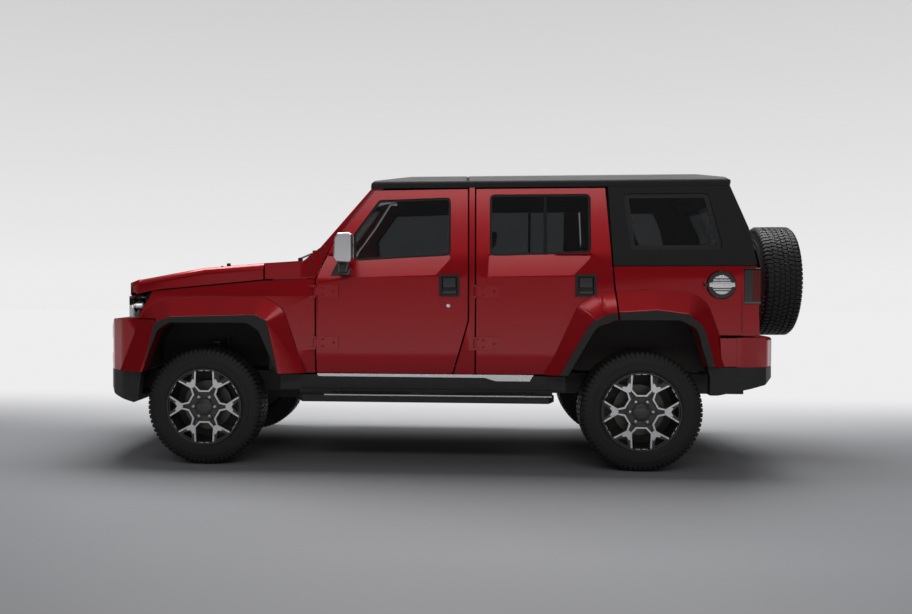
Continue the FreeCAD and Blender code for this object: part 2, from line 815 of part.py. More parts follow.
for side, word in ((-1, "left"), (1, "right")):
    def at(inner):
        return "-(wheel_half_track - (%s))" % inner if side < 0 else "wheel_half_track - (%s)" % inner
    name = "knuckle_" + word
    low, high = (at("20"), at("70")) if side < 0 else (at("70"), at("20"))
    ball_low, ball_high = (at("20"), at("110")) if side < 0 else (at("110"), at("20"))
    upright = box(name + "_upright", ("front_axle_x - 48", "front_axle_x + 48"), (low, high),
                  ("tyre_radius - 130", "tyre_radius + 130"))
    top = box(name + "_top", ("front_axle_x - 36", "front_axle_x + 36"), (ball_low, ball_high),
              ("tyre_radius + 98", "tyre_radius + 130"))
    foot = box(name + "_foot", ("front_axle_x - 36", "front_axle_x + 36"), (ball_low, ball_high),
               ("tyre_radius - 130", "tyre_radius - 98"))
    arm = box(name + "_arm", ("front_axle_x + 40", "front_axle_x + 150"), (low, high),
              ("tyre_radius - 40", "tyre_radius - 12"))
    stub = cylinder(name + "_stub", "Y", "stub_radius", "stub_depth + 40", "front_axle_x",
                    "-(wheel_half_track + stub_depth)" if side < 0 else "wheel_half_track - 40", "tyre_radius")
    knuckle = joined(name, [upright, top, foot, arm, stub])
    piece(name, knuckle)

# Doors, their hinges and handles


def bevel(name, outline):
    """The wedge taken off below the windows, where the side steps in, within a side outline."""
    wedge = slab(name + "_wedge", "YZ_Plane", [
        ("-(belt_half + 1)", "belt_z - 8"),
        ("-(belt_half - bevel_depth)", "belt_z + bevel_run"),
        ("-(belt_half + 40)", "belt_z + bevel_run"),
        ("-(belt_half + 40)", "belt_z - 8"),
    ], "door_x - 20", "tail_x")
    return shared(name, wedge, cut_edge(name + "_edge", outline))


def pin_bore(name, round_one, radius, length, x, y, z):
    """An upright hinge bore: round, or with flat sides that clear the same pin."""
    if round_one:
        return cylinder(name, "Z", radius, length, x, y, z)
    return prism(name, "Z", 8, "(%s)/%.6f" % (radius, math.cos(math.pi / 8)), length, x, y, z)


def cross_bore(name, round_one, radius, length, x, y, z):
    """A hinge bore across the vehicle: round, or with flat sides that clear the same pin."""
    if round_one:
        return cylinder(name, "Y", radius, length, x, y, z)
    return prism(name, "Y", 8, "(%s)/%.6f" % (radius, math.cos(math.pi / 8)), length, x, y, z)


def straps(name, edge):
    """The two hinge straps on a door's skin, each ending ahead of its edge in a bored barrel."""
    parts = []
    for i, z in enumerate(("strap_high_z", "strap_low_z")):
        low = "%s - strap_height/2 + hinge_lug_height + 1" % z
        strap = box("%s_strap_%d" % (name, i), ("%s + 14" % edge, "%s + 14 + strap_length" % edge),
                    ("-(crease_half + strap_depth)", "-(belt_half - 10)"),
                    ("%s - strap_height/2" % z, "%s + strap_height/2" % z))
        tongue = box("%s_tongue_%d" % (name, i), ("%s - door_hinge_ahead" % edge, "%s + 20" % edge),
                     ("-(crease_half + door_hinge_out + 7)", "-(crease_half + door_hinge_out - 9)"),
                     (low, "%s + strap_height/2 - hinge_lug_height - 1" % z))
        tube = prism("%s_tube_%d" % (name, i), "Z", 8, "hinge_barrel_radius",
                     "strap_height - 2*hinge_lug_height - 2", "%s - door_hinge_ahead" % edge,
                     "-(crease_half + door_hinge_out)", low)
        bore = pin_bore("%s_bore_%d" % (name, i), i == 0, "hinge_pin_radius + running_gap", "strap_height",
                        "%s - door_hinge_ahead" % edge, "-(crease_half + door_hinge_out)",
                        "%s - strap_height/2" % z)
        parts.append(cut("%s_leaf_%d" % (name, i), joined("%s_solid_%d" % (name, i), [strap, tongue, tube]), [bore]))
    return parts


def hinge_lugs(name, edge, reach):
    """The body's half of two door hinges: a pin held between two lugs that stand off the skin."""
    parts = []
    for i, z in enumerate(("strap_high_z", "strap_low_z")):
        parts.append(prism("%s_pin_%d" % (name, i), "Z", 8, "hinge_pin_radius", "strap_height",
                           "%s - door_hinge_ahead" % edge, "-(crease_half + door_hinge_out)",
                           "%s - strap_height/2" % z))
        for k, low in enumerate(("%s - strap_height/2" % z, "%s + strap_height/2 - hinge_lug_height" % z)):
            parts.append(box("%s_lug_%d%d" % (name, i, k), ("%s %s" % (edge, reach), "%s - door_hinge_ahead + 6" % edge),
                             ("-(crease_half + door_hinge_out + 8)", "-(crease_half + 2)"),
                             (low, low + " + hinge_lug_height")))
            parts.append(box("%s_root_%d%d" % (name, i, k), ("%s %s" % (edge, reach), "%s - 12" % edge),
                             ("-(crease_half + 3)", "-(belt_half - 12)"), (low, low + " + hinge_lug_height")))
    return parts


def door(name, outline, window, x_low, x_high, hinge_x, handle_x, extra):
    wall = skin(name + "_wall", x_low, x_high, "door_inner_depth + 30", "door_inner_depth - 3")
    panel = shared(name + "_panel", wall, cut_edge(name + "_edge", outline))
    open_panel = cut(name + "_open", panel, [cut_edge(name + "_window", window, "window_corner_radius")] + extra)
    handle = box(name + "_handle", ("%s - handle_width/2" % handle_x, "%s + handle_width/2" % handle_x),
                 ("-(belt_half + handle_depth)", "-(belt_half - 10)"),
                 ("handle_mid_z - handle_height/2", "handle_mid_z + handle_height/2"))
    return joined(name, [open_panel, handle] + straps(name, hinge_x))


front_bevel = bevel("front_door_bevel", [
    ("door_x + 12", "belt_z - 7"),
    ("door_end_x - 201", "belt_z + 15"),
    ("door_end_x - 108", "belt_z + 118"),
    ("door_end_x - 108", "belt_z + bevel_run"),
    ("door_x + 12", "belt_z + bevel_run"),
])
front_left = door("door_front_left", FRONT_DOOR, FRONT_WINDOW, "door_x - 20", "door_end_x + 20",
                  "door_x", "door_end_x - front_handle_back", [front_bevel])
piece("door_front_left", front_left)
piece("door_front_right", mirrored("door_front_right", front_left))

rear_bevel = bevel("rear_door_bevel", [
    ("rear_door_x + 70", "belt_z + 5"),
    ("rear_axle_x - 412", "belt_z + 13"),
    ("rear_axle_x - 307", "belt_z + 120"),
    ("rear_axle_x - 307", "belt_z + bevel_run"),
    ("rear_door_x + 80", "belt_z + bevel_run"),
])
rear_arch_room = arch_opening("rear_arch_room", REAR_ARCH)
rear_left_plain = door("door_rear_left", REAR_DOOR, REAR_WINDOW, "rear_door_x - 20", "rear_axle_x - 100",
                       "rear_door_x", "rear_axle_x - rear_handle_ahead", [rear_bevel, rear_arch_room])
rear_flare = cut("rear_flare", flare_block("rear_flare_full", REAR_CREASE, "rear_flare_run"), [
    rear_arch_room,
    box("rear_flare_low", ("rear_axle_x + 280", "tail_x"), ("-1100", "-500"), ("0", "rear_bumper_low_z + 2")),
])
door_flare = shared("rear_door_flare", rear_flare, cut_edge("rear_door_flare_room", [
    ("rear_door_x", "sill_z"),
    ("rear_door_x", "1272"),
    ("rear_axle_x - rear_door_belt_ahead", "1272"),
    ("rear_axle_x - rear_door_arch_ahead", "rear_arch_top_z - 20"),
    ("rear_axle_x - rear_door_arch_ahead", "sill_z"),
]))
rear_left_door = joined("door_rear_left_whole", [rear_left_plain, door_flare])
piece("door_rear_left", rear_left_door)
piece("door_rear_right", mirrored("door_rear_right", rear_left_door))

for word, window in (("front", FRONT_WINDOW), ("rear", REAR_WINDOW)):
    glass = pane("glass_%s_left" % word, grown(window, 0.0), "shoulder_half - glass_inset", "1290",
                 "rail_half - 14 + 8", "1724")
    piece("glass_%s_left" % word, glass)
    piece("glass_%s_right" % word, mirrored("glass_%s_right" % word, glass))

# Body side behind the doors: pillars, sill and rear quarter

side_wall = skin("side_wall", "door_x - panel_gap", "tail_x", "door_inner_depth + 30", "door_inner_depth - 3")
pillar_outline = cut_edge("pillar_outline", [
    ("door_end_x - front_door_kick_x - 20", "sill_z"),
    ("door_end_x - front_door_kick_x - 20", "rail_z"),
    ("rear_door_x + 20", "rail_z"),
    ("rear_door_x + 20", "sill_z"),
])
side_outline = cut_edge("side_outline", [
    ("rear_axle_x - rear_arch_front", "sill_z"),
    ("rear_axle_x - rear_arch_front", "tail_belt_z"),
    ("tail_x - 14", "tail_belt_z"),
    ("tail_x", "tail_floor_z"),
    ("rear_axle_x + rear_arch_rear", "tail_floor_z"),
    ("rear_axle_x + rear_arch_rear", "sill_z"),
])
pillar = cut("pillar", shared("pillar_panel", side_wall, pillar_outline), [
    cut_edge("pillar_front_door", grown(FRONT_DOOR, SIZES["panel_gap"])),
    cut_edge("pillar_rear_door", grown(REAR_DOOR, SIZES["panel_gap"])),
])
side_cut = cut("side_cut", shared("side_panel", side_wall, side_outline), [
    cut_edge("side_rear_door", grown(REAR_DOOR, SIZES["panel_gap"])),
    rear_arch_room,
    box("side_low", ("rear_axle_x + 280", "tail_x"), ("-1100", "-500"), ("0", "rear_bumper_low_z + 2")),
])
QUARTER_ROOM = [
    ("tail_x", "sill_z"),
    ("tail_x", "1272"),
    ("rear_axle_x - rear_door_belt_ahead + panel_gap", "1272"),
    ("rear_axle_x - rear_door_arch_ahead + panel_gap", "rear_arch_top_z - 20"),
    ("rear_axle_x - rear_door_arch_ahead + panel_gap", "sill_z"),
]
quarter_flare = shared("quarter_flare", rear_flare, cut_edge("quarter_flare_room", QUARTER_ROOM))
quarter_ready = cut("quarter_ready", joined("quarter_whole", [side_cut, quarter_flare]), [
    box("lamp_room", ("tail_x - tail_lamp_ahead", "tail_x + 40"), ("-1000", "-tail_lamp_inner_half"),
        ("tail_lamp_low_z", "tail_lamp_top_z")),
    prism("flap_room", "Y", 16, "fuel_flap_radius + 6", "100", "rear_axle_x + fuel_flap_behind",
             "-(belt_half + 60)", "fuel_flap_z"),
])
pillar_foot = box("pillar_foot", ("door_end_x - 60", "door_end_x + 30"), ("-(sill_half - 60)", "-(sill_half - 92)"),
                  ("sill_z", "floor_z + floor_thickness"))
pillar_ready = joined("pillar_ready", [pillar, pillar_foot] + hinge_lugs("rear_hinge", "rear_door_x", "-26"))
flap_lugs = [box("flap_lug_%d" % k, ("rear_axle_x + fuel_flap_behind - fuel_flap_radius - 26",
                                     "rear_axle_x + fuel_flap_behind - fuel_flap_radius - 8"),
                 ("-(belt_half + 17)", "-(belt_half - 4)"), (z, z + " + 8")) for k, z in
             enumerate(("fuel_flap_z - 18", "fuel_flap_z + 10"))]
flap_pin = prism("flap_pin", "Z", 8, "3", "28", "rear_axle_x + fuel_flap_behind - fuel_flap_radius - 14",
                    "-(belt_half + 10)", "fuel_flap_z - 14")
quarter_solid = joined("quarter_solid", [quarter_ready, flap_pin] + flap_lugs)
piece("body_sides", group("body_sides", [pillar_ready, mirrored("pillar_right", pillar_ready), quarter_solid,
                                         mirrored("quarter_right", quarter_ready)]))

# Front fenders with their flares

fender_wall = slab("fender_wall", "YZ_Plane", [
    ("-sill_half", "sill_z"),
    ("-crease_half", "crease_z"),
    ("-(belt_half + 2)", "1080"),
    ("-(belt_half - 8)", "belt_z"),
    ("-(belt_half - 90)", "belt_z"),
    ("-(belt_half - 90)", "crease_z"),
    ("-(sill_half - 60)", "sill_z"),
], "front_axle_x - 445", "door_x - panel_gap")
fender_edge = cut_edge("fender_edge", [
    ("front_axle_x - 445", "nose_top_z + 7"),
    ("front_axle_x - 345", "1110"),
    ("front_axle_x + 372", "1178"),
    ("door_x - panel_gap", "1190"),
    ("door_x - panel_gap", "sill_z"),
    ("front_axle_x + 300", "sill_z"),
    ("front_axle_x + 200", "nose_top_z - 40"),
    ("front_axle_x - 300", "nose_top_z + 7"),
])
front_arch_room = arch_opening("front_arch_room", FRONT_ARCH)
front_flare = flare_block("front_flare_full", FRONT_CREASE, "flare_run")
fender_flare = cut("fender_flare", front_flare, [
    box("front_flare_low", ("front_axle_x - 900", "front_axle_x - 306"), ("-1100", "-500"),
        ("0", "nose_top_z + 7")),
])
fender = cut("fender", joined("fender_whole", [shared("fender_panel", fender_wall, fender_edge), fender_flare]),
             [front_arch_room])
fender_ready = joined("fender_ready", [fender] + hinge_lugs("front_hinge", "door_x", "- 40"))
both("front_fenders", fender_ready)

# Black lips round the arches


def lip_block(name, crease, run, arch, room):
    """A flat black ring on a flare's lower edge, round the wheel opening."""
    outline = eased(grown(crease, -number(run)), "flare_corner - (%s)" % run, 2, (0, -1))
    outline[0] = (outline[0][0], "arch_low_z")
    outline[-1] = (outline[-1][0], "arch_low_z")
    whole = side_slab(name + "_slab", outline, "-(flare_half + lip_thickness)", "-flare_half")
    return shared(name, cut(name + "_ring", whole, [arch]), room)


front_lip = lip_block("front_lip", FRONT_CREASE, "flare_run", front_arch_room,
                      box("front_lip_room", ("front_axle_x - 900", "door_x"), ("-1100", "-500"),
                          ("arch_low_z", "1400")))
rear_lip = lip_block("rear_lip", REAR_CREASE, "rear_flare_run", rear_arch_room,
                     box("rear_lip_room", ("rear_axle_x - rear_door_arch_ahead + panel_gap", "tail_x"),
                         ("-1100", "-500"), ("rear_bumper_low_z + 2", "1400")))
lips = [front_lip, mirrored("front_lip_right", front_lip), rear_lip, mirrored("rear_lip_right", rear_lip)]
piece("arch_trims", group("arch_trims", lips))

# Nose: panel round the lamps and grille, bumper and lower skirt

NOSE_PLAN = [
    ("front_axle_x - front_overhang - 2", "-350"),
    ("front_axle_x - front_overhang + 30", "-620"),
    ("front_axle_x - front_overhang + 100", "-790"),
    ("front_axle_x - front_overhang + 190", "-880"),
    ("front_axle_x - 405", "-nose_half"),
    ("front_axle_x - 405", "nose_half"),
    ("front_axle_x - front_overhang + 190", "880"),
    ("front_axle_x - front_overhang + 100", "790"),
    ("front_axle_x - front_overhang + 30", "620"),
    ("front_axle_x - front_overhang - 2", "350"),
]


def plan_slab(name, points, low, high):
    return slab(name, "XY_Plane", points, low, high)


def nose_inside(name, wall, low, high):
    return plan_slab(name, [
        ("front_axle_x - front_overhang + 90 + %s" % wall, "-330"),
        ("front_axle_x - front_overhang + 130 + %s" % wall, "-600"),
        ("front_axle_x - front_overhang + 190 + %s" % wall, "-740"),
        ("front_axle_x - 500", "-820"),
        ("front_axle_x - 100", "-840"),
        ("front_axle_x - 100", "840"),
        ("front_axle_x - 500", "820"),
        ("front_axle_x - front_overhang + 190 + %s" % wall, "740"),
        ("front_axle_x - front_overhang + 130 + %s" % wall, "600"),
        ("front_axle_x - front_overhang + 90 + %s" % wall, "330"),
    ], low, high)


def nose_block(name, low, high):
    """The nose's outline from above, its corners rounded."""
    return plan_slab(name, eased(NOSE_PLAN, "nose_corner", 2, (4, 5)), low, high)


bumper_side = side_slab("bumper_side", [
    ("front_axle_x - nose_low_ahead", "nose_low_z"),
    ("front_axle_x - front_overhang + 8", "nose_mid_z"),
    ("front_axle_x - front_overhang + 17", "nose_step_z"),
    ("front_axle_x - nose_top_ahead", "nose_top_z"),
    ("front_axle_x - 405", "nose_top_z"),
    ("front_axle_x - 405", "nose_low_z"),
], "-nose_half", "nose_half")
bumper_form = shared("bumper_form", bumper_side, nose_block("bumper_plan", "500", "1000"))
leg_room = box("leg_room", ("front_axle_x - 900", "front_axle_x - 313"), ("-1100", "-500"),
               ("nose_low_z", "nose_top_z"))
leg = cut("bumper_leg", shared("bumper_leg_form", front_flare, leg_room), [
    box("leg_inside", ("front_axle_x - 900", "front_axle_x - 406"), ("-(nose_half - 10)", "0"), ("500", "1000")),
])
bumper_whole = joined("bumper_whole", [bumper_form, leg, mirrored("bumper_leg_right", leg)])
pocket = slab("fog_pocket", "YZ_Plane", eased([
    ("-fog_outer_half", "fog_low_z"),
    ("-fog_outer_half", "fog_high_z"),
    ("-fog_inner_half", "fog_high_z"),
    ("-fog_inner_half", "fog_low_z"),
], "fog_corner", 1), "front_axle_x - 800", "front_axle_x - 640")
bumper = cut("bumper", bumper_whole, [
    nose_inside("bumper_inside", "0", "550", "nose_top_z - 24"),
    box("bumper_mouth", ("front_axle_x - 800", "front_axle_x - 640"), ("-470", "470"), ("650", "745")),
    front_arch_room,
    arch_opening("bumper_arch_right", FRONT_ARCH, "500", "1200"),
    pocket,
    mirrored("fog_pocket_right", pocket),
])
piece("front_bumper", bumper)

skirt_side = side_slab("skirt_side", [
    ("front_axle_x - front_overhang", "skirt_front_z"),
    ("front_axle_x - front_overhang + 2", "nose_low_z - 20"),
    ("front_axle_x - nose_low_ahead", "nose_low_z"),
    ("front_axle_x - 415", "nose_low_z"),
    ("front_axle_x - skirt_rear_ahead + 30", "skirt_rear_z + 20"),
    ("front_axle_x - skirt_rear_ahead", "skirt_rear_z"),
    ("front_axle_x - skirt_mid_ahead", "skirt_mid_z"),
], "-nose_half", "nose_half")
skirt = cut("skirt", shared("skirt_form", skirt_side, nose_block("skirt_plan", "300", "700")), [
    nose_inside("skirt_inside", "0", "rail_low_z - 2", "700"),
    side_slab("skirt_arch_left", FRONT_ARCH, "-1200", "-500"),
    side_slab("skirt_arch_right", FRONT_ARCH, "500", "1200"),
])
piece("front_skirt", skirt)

PANEL_PLAN = [
    ("front_axle_x - 622", "-400"),
    ("front_axle_x - 600", "-560"),
    ("front_axle_x - 540", "-760"),
    ("front_axle_x - 480", "-830"),
    ("front_axle_x - 454", "-846"),
    ("front_axle_x - 454", "846"),
    ("front_axle_x - 480", "830"),
    ("front_axle_x - 540", "760"),
    ("front_axle_x - 600", "560"),
    ("front_axle_x - 622", "400"),
]
panel_form = plan_slab("panel_form", PANEL_PLAN, "nose_top_z", "hood_nose_z - 8")
grille_room = box("grille_room", ("front_axle_x - 700", "front_axle_x - 620 + grille_depth"),
                  ("-(lamp_inner_half - 12)", "lamp_inner_half - 12"), ("lamp_low_z - 2", "lamp_top_z - 16"))
LAMP_SIDE = [
    ("front_axle_x - 700", "lamp_low_z + 1"),
    ("front_axle_x - 700", "lamp_top_z - 13"),
    ("front_axle_x - lamp_top_ahead", "lamp_top_z - 13"),
    ("front_axle_x - lamp_side_top_ahead - 14", "lamp_top_z + 26"),
    ("front_axle_x - lamp_side_low_ahead - 11", "lamp_low_z + 1"),
]
lamp_left_room = side_slab("lamp_left_room", grown(LAMP_SIDE, 1.0), "-900", "-lamp_inner_half")
lamp_right_room = side_slab("lamp_right_room", grown(LAMP_SIDE, 1.0), "lamp_inner_half", "900")
panel = cut("front_panel", panel_form, [
    grille_room, lamp_left_room, lamp_right_room,
    box("panel_duct", ("front_axle_x - 560", "front_axle_x - 440"), ("-460", "460"), ("960", "1040")),
])
piece("front_panel", panel)
LAMP_PLAN = [
    ("front_axle_x - 600", "-lamp_inner_half"),
    ("front_axle_x - 600", "-560"),
    ("front_axle_x - 540", "-760"),
    ("front_axle_x - 480", "-830"),
    ("front_axle_x - 420", "-856"),
    ("front_axle_x - 300", "-862"),
    ("front_axle_x - 300", "-800"),
    ("front_axle_x - 430", "-740"),
    ("front_axle_x - 460", "-lamp_inner_half"),
]
lamp_side = cut_edge("lamp_side", LAMP_SIDE)
lamp = shared("lamp_left", plan_slab("lamp_form", LAMP_PLAN, "900", "1200"), lamp_side)
both("headlamps", lamp)
bars = [box("grille_back", ("front_axle_x - 572", "front_axle_x - 620 + grille_depth"),
            ("-(lamp_inner_half - 12)", "lamp_inner_half - 12"), ("lamp_low_z - 2", "lamp_top_z - 16"))]
for k in range(4):
    low = "lamp_low_z + 2 + grille_bar_pitch*%d" % k
    bars.append(box("grille_bar_%d" % k, ("front_axle_x - 602", "front_axle_x - 570"),
                    ("-(lamp_inner_half - 12)", "lamp_inner_half - 12"), (low, low + " + grille_bar_height")))
piece("grille", joined("grille", bars))

# Hood

hood_side = side_slab("hood_side", [
    ("front_axle_x - hood_nose_ahead", "hood_nose_z"),
    ("front_axle_x - hood_brow_ahead", "hood_brow_z"),
    ("front_axle_x - hood_crown_ahead", "hood_crown_z"),
    ("front_axle_x - 30", "hood_mid_z"),
    ("hood_rear_x", "hood_rear_z"),
    ("hood_rear_x", "hood_side_rear_z"),
    ("front_axle_x - 338", "1121"),
    ("front_axle_x - 520", "hood_nose_z"),
], "-hood_half", "hood_half")
hood_plan = plan_slab("hood_plan", [
    ("front_axle_x - 616", "-400"),
    ("front_axle_x - 596", "-560"),
    ("front_axle_x - 540", "-730"),
    ("front_axle_x - 470", "-hood_half_front"),
    ("front_axle_x - 250", "-(hood_half - 18)"),
    ("hood_rear_x + 5", "-hood_half"),
    ("hood_rear_x + 5", "hood_half"),
    ("front_axle_x - 250", "hood_half - 18"),
    ("front_axle_x - 470", "hood_half_front"),
    ("front_axle_x - 540", "730"),
    ("front_axle_x - 596", "560"),
    ("front_axle_x - 616", "400"),
], "900", "1400")
hood_sharp = shared("hood_sharp", hood_side, hood_plan)


def edge_wedge(name, start, end, half_start, half_end, z_start, z_end):
    """What lies outside a rounded edge that runs back along the hood's left side."""
    low, high = "-(%s)" % half_start, z_start
    points = [(low, "%s - hood_edge_radius" % high)]
    for step in (22.5, 45.0, 67.5):
        across, up = 1.0 - math.cos(math.radians(step)), 1.0 - math.sin(math.radians(step))
        points.append(("%s + hood_edge_radius*%.4f" % (low, across), "%s - hood_edge_radius*%.4f" % (high, up)))
    points += [("%s + hood_edge_radius" % low, high), ("%s + hood_edge_radius" % low, "%s + 60" % high),
               ("%s - 60" % low, "%s + 60" % high), ("%s - 60" % low, "%s - hood_edge_radius" % high)]
    body = slab(name, "YZ_Plane", points, start, end)
    pad = body.Tip
    run = number(end) - number(start)
    pad.UseCustomVector = True
    pad.AlongSketchNormal = True
    pad.Direction = FreeCAD.Vector(run, number(half_start) - number(half_end), number(z_end) - number(z_start))
    return body


brow = ("front_axle_x - hood_crown_ahead", "hood_half_front + 1.6", "hood_crown_z")
neck = ("front_axle_x - 250", "hood_half - 18", "hood_crown_z + (hood_mid_z - hood_crown_z)/(hood_crown_ahead - 30)*(hood_crown_ahead - 250)")
waist = ("front_axle_x - 30", "hood_half - 11.6", "hood_mid_z")
heel = ("hood_rear_x + 5", "hood_half", "hood_rear_z + 0.4")
wedges = []
for k, (a, b) in enumerate(((brow, neck), (neck, waist), (waist, heel))):
    wedge = edge_wedge("hood_wedge_%d" % k, a[0], b[0], a[1], b[1], a[2], b[2])
    wedges += [wedge, mirrored("hood_wedge_right_%d" % k, wedge)]
hood_form = cut("hood_form", hood_sharp, wedges)
hood_inside = side_slab("hood_inside", [
    ("front_axle_x - hood_nose_ahead + 60", "1000"),
    ("front_axle_x - hood_brow_ahead + 26", "hood_brow_z - 26"),
    ("front_axle_x - hood_crown_ahead + 8", "hood_crown_z - hood_skin"),
    ("front_axle_x - 30", "hood_mid_z - hood_skin"),
    ("hood_rear_x - 28", "hood_rear_z - hood_skin - 4"),
    ("hood_rear_x - 28", "1000"),
], "-(hood_half - 70)", "hood_half - 70")
hood_leaves = []
hood_bores = []
for k, y in enumerate(("-640", "560")):
    hood_leaves.append(prism("hood_tube_%d" % k, "Y", 8, "hood_pin_radius + 2", "80", "hood_rear_x + panel_gap/2", y,
                             "hood_rear_z - 4"))
    hood_leaves.append(box("hood_tongue_%d" % k, ("hood_rear_x - 1", "hood_rear_x + panel_gap/2"), (y, y + " + 80"),
                           ("hood_rear_z - 7", "hood_rear_z - 3")))
    hood_bores.append(cross_bore("hood_bore_%d" % k, k == 0, "hood_pin_radius + running_gap", "90",
                               "hood_rear_x + panel_gap/2", "%s - 5" % y, "hood_rear_z - 4"))
piece("hood", cut("hood", joined("hood_whole", [cut("hood_open", hood_form, [hood_inside])] + hood_leaves),
                  hood_bores))

# Cowl and windscreen frame

cowl = side_slab("cowl", [
    ("hood_rear_x + panel_gap", "1120"),
    ("hood_rear_x + panel_gap", "hood_rear_z"),
    ("door_x - 105", "cowl_rear_z"),
    ("door_x - 60", "screen_sill_z - 60"),
    ("door_x - 100", "1120"),
], "-(hood_half - 4)", "hood_half - 4")
SCREEN_SIDE = [
    ("door_x - 110", "1194"),
    ("door_x - 110 + 20", "cowl_rear_z"),
    ("door_x + a_line_low_run - 84", "a_line_low_z - 16"),
    ("door_x + 347", "roof_low_z"),
    ("door_x + 413", "roof_low_z"),
    ("door_x + a_line_top_run + 30", "a_line_top_z + 14"),
    ("door_x + a_line_top_run - 10", "a_line_top_z + 6"),
    ("door_x + a_line_low_run - 12", "a_line_low_z"),
    ("door_x - 12", "1194"),
]
frame_hull = slab("screen_frame_hull", "YZ_Plane", [
    ("-(hood_half - 2)", "1100"),
    ("-(hood_half - 2)", "1230"),
    ("-(rail_half - 8)", "rail_z + 2"),
    ("rail_half - 8", "rail_z + 2"),
    ("hood_half - 2", "1230"),
    ("hood_half - 2", "1100"),
], "door_x - 300", "door_x + 600")
frame_wide = side_slab("screen_frame_wide", SCREEN_SIDE, "-hood_half", "hood_half")
screen_hole = slab("screen_hole", "YZ_Plane", eased([
    ("-(screen_half + 26)", "1325"),
    ("-(screen_half - 18)", "1715"),
    ("screen_half - 18", "1715"),
    ("screen_half + 26", "1325"),
], "window_corner_radius"), "door_x - 400", "door_x + 600")
frame_cut = cut("screen_frame_cut", shared("screen_frame_both", frame_wide, frame_hull), [screen_hole])
cowl_ready = cut("cowl_ready", cowl, [
    box("cowl_left_room", ("front_axle_x", "door_x + 200"), ("-900", "-(belt_half - 90 - running_gap)"),
        ("1000", "1191")),
    box("cowl_right_room", ("front_axle_x", "door_x + 200"), ("belt_half - 90 - running_gap", "900"),
        ("1000", "1191")),
])
hood_lugs = []
for k, y in enumerate(("-640", "560")):
    hood_lugs.append(prism("hood_pin_%d" % k, "Y", 8, "hood_pin_radius", "110", "hood_rear_x + panel_gap/2",
                           "%s - 15" % y, "hood_rear_z - 4"))
    for j, low in enumerate(("%s - 15" % y, "%s + 81" % y)):
        hood_lugs.append(box("hood_lug_%d%d" % (k, j), ("hood_rear_x + panel_gap/2", "hood_rear_x + panel_gap + 1"),
                             (low, low + " + 14"), ("hood_rear_z - 8", "hood_rear_z - 0.5")))
piece("windscreen_frame", joined("windscreen_frame", [frame_cut, cowl_ready] + hood_lugs))
screen_sheet = side_slab("screen_sheet", [
    ("door_x - 84", "1325"),
    ("door_x + 22", "a_line_low_z"),
    ("door_x + 296", "1715"),
    ("door_x + 302", "1715"),
    ("door_x + 28", "a_line_low_z"),
    ("door_x - 78", "1325"),
], "-(screen_half + 30)", "screen_half + 30")
piece("windscreen", shared("windscreen", screen_sheet, screen_hole))

# Roof: front panel and hard top


def roof_section(name, low, high):
    return slab(name, "YZ_Plane", [
        ("-roof_edge_half", "roof_low_z"),
        ("-roof_edge_half", "roof_edge_z"),
        ("-roof_shoulder_half", "roof_shoulder_z"),
        ("-300", "roof_top_z - 4"),
        ("300", "roof_top_z - 4"),
        ("roof_shoulder_half", "roof_shoulder_z"),
        ("roof_edge_half", "roof_edge_z"),
        ("roof_edge_half", "roof_low_z"),
    ], low, high)


roof_full = rounded("roof_full", roof_section("roof_sharp", "door_x + 342", "rear_axle_x + top_upper_behind + 60"),
                    "roof_corner", lambda edge: along(X)(edge) and edge.CenterOfMass.z > number("roof_low_z") + 5)
roof_side_sharp = side_slab("roof_side_sharp", [
    ("door_x + 342", "roof_low_z"),
    ("door_x + 345", "1798"),
    ("door_x + 365", "1818"),
    ("door_x + 365 + roof_front_run", "roof_top_z"),
    ("rear_axle_x + top_upper_behind - roof_rear_run", "roof_top_z"),
    ("rear_axle_x + top_upper_behind + 20", "1824"),
    ("rear_axle_x + top_upper_behind + 50", "1800"),
    ("rear_axle_x + top_upper_behind + 44", "roof_low_z"),
], "-900", "900")
roof_side = rounded("roof_side", roof_side_sharp, "roof_end_corner",
                    lambda edge: along(Y)(edge) and 1805 < edge.CenterOfMass.z < number("roof_top_z") - 5)
roof_shell = shared("roof_shell", roof_full, roof_side)
roof_hollow = box("roof_hollow", ("door_x + 380", "rear_axle_x + top_upper_behind + 10"),
                  ("-(rail_half - 96)", "rail_half - 96"), ("1700", "1804"))
roof_ready = cut("roof_ready", roof_shell, [roof_hollow])
piece("roof_front", shared("roof_front", roof_ready,
                           box("roof_front_room", ("door_x", "door_end_x - 4"), ("-900", "900"), ("1700", "1900"))))
roof_back = shared("roof_back", roof_ready,
                   box("roof_back_room", ("door_end_x + 4", "tail_x + 100"), ("-900", "900"), ("1700", "1900")))
top_wall = skin("top_wall", "rear_axle_x - 240", "tail_x", "door_inner_depth + 30", "door_inner_depth - 3")
top_side = cut("top_side", shared("top_side_panel", top_wall, cut_edge("top_side_edge", [
    ("rear_axle_x - 195", "roof_low_z"),
    ("rear_axle_x - 168", "tail_belt_z + 4"),
    ("rear_axle_x + top_rear_behind - 4", "tail_belt_z + 4"),
    ("rear_axle_x + top_rear_behind", "1290"),
    ("rear_axle_x + top_bend_behind", "top_bend_z"),
    ("rear_axle_x + top_upper_behind + 44", "roof_low_z"),
])), [
    cut_edge("top_side_window", QUARTER_WINDOW, "window_corner_radius"),
    cut_edge("top_side_door", grown(REAR_DOOR, SIZES["panel_gap"])),
])
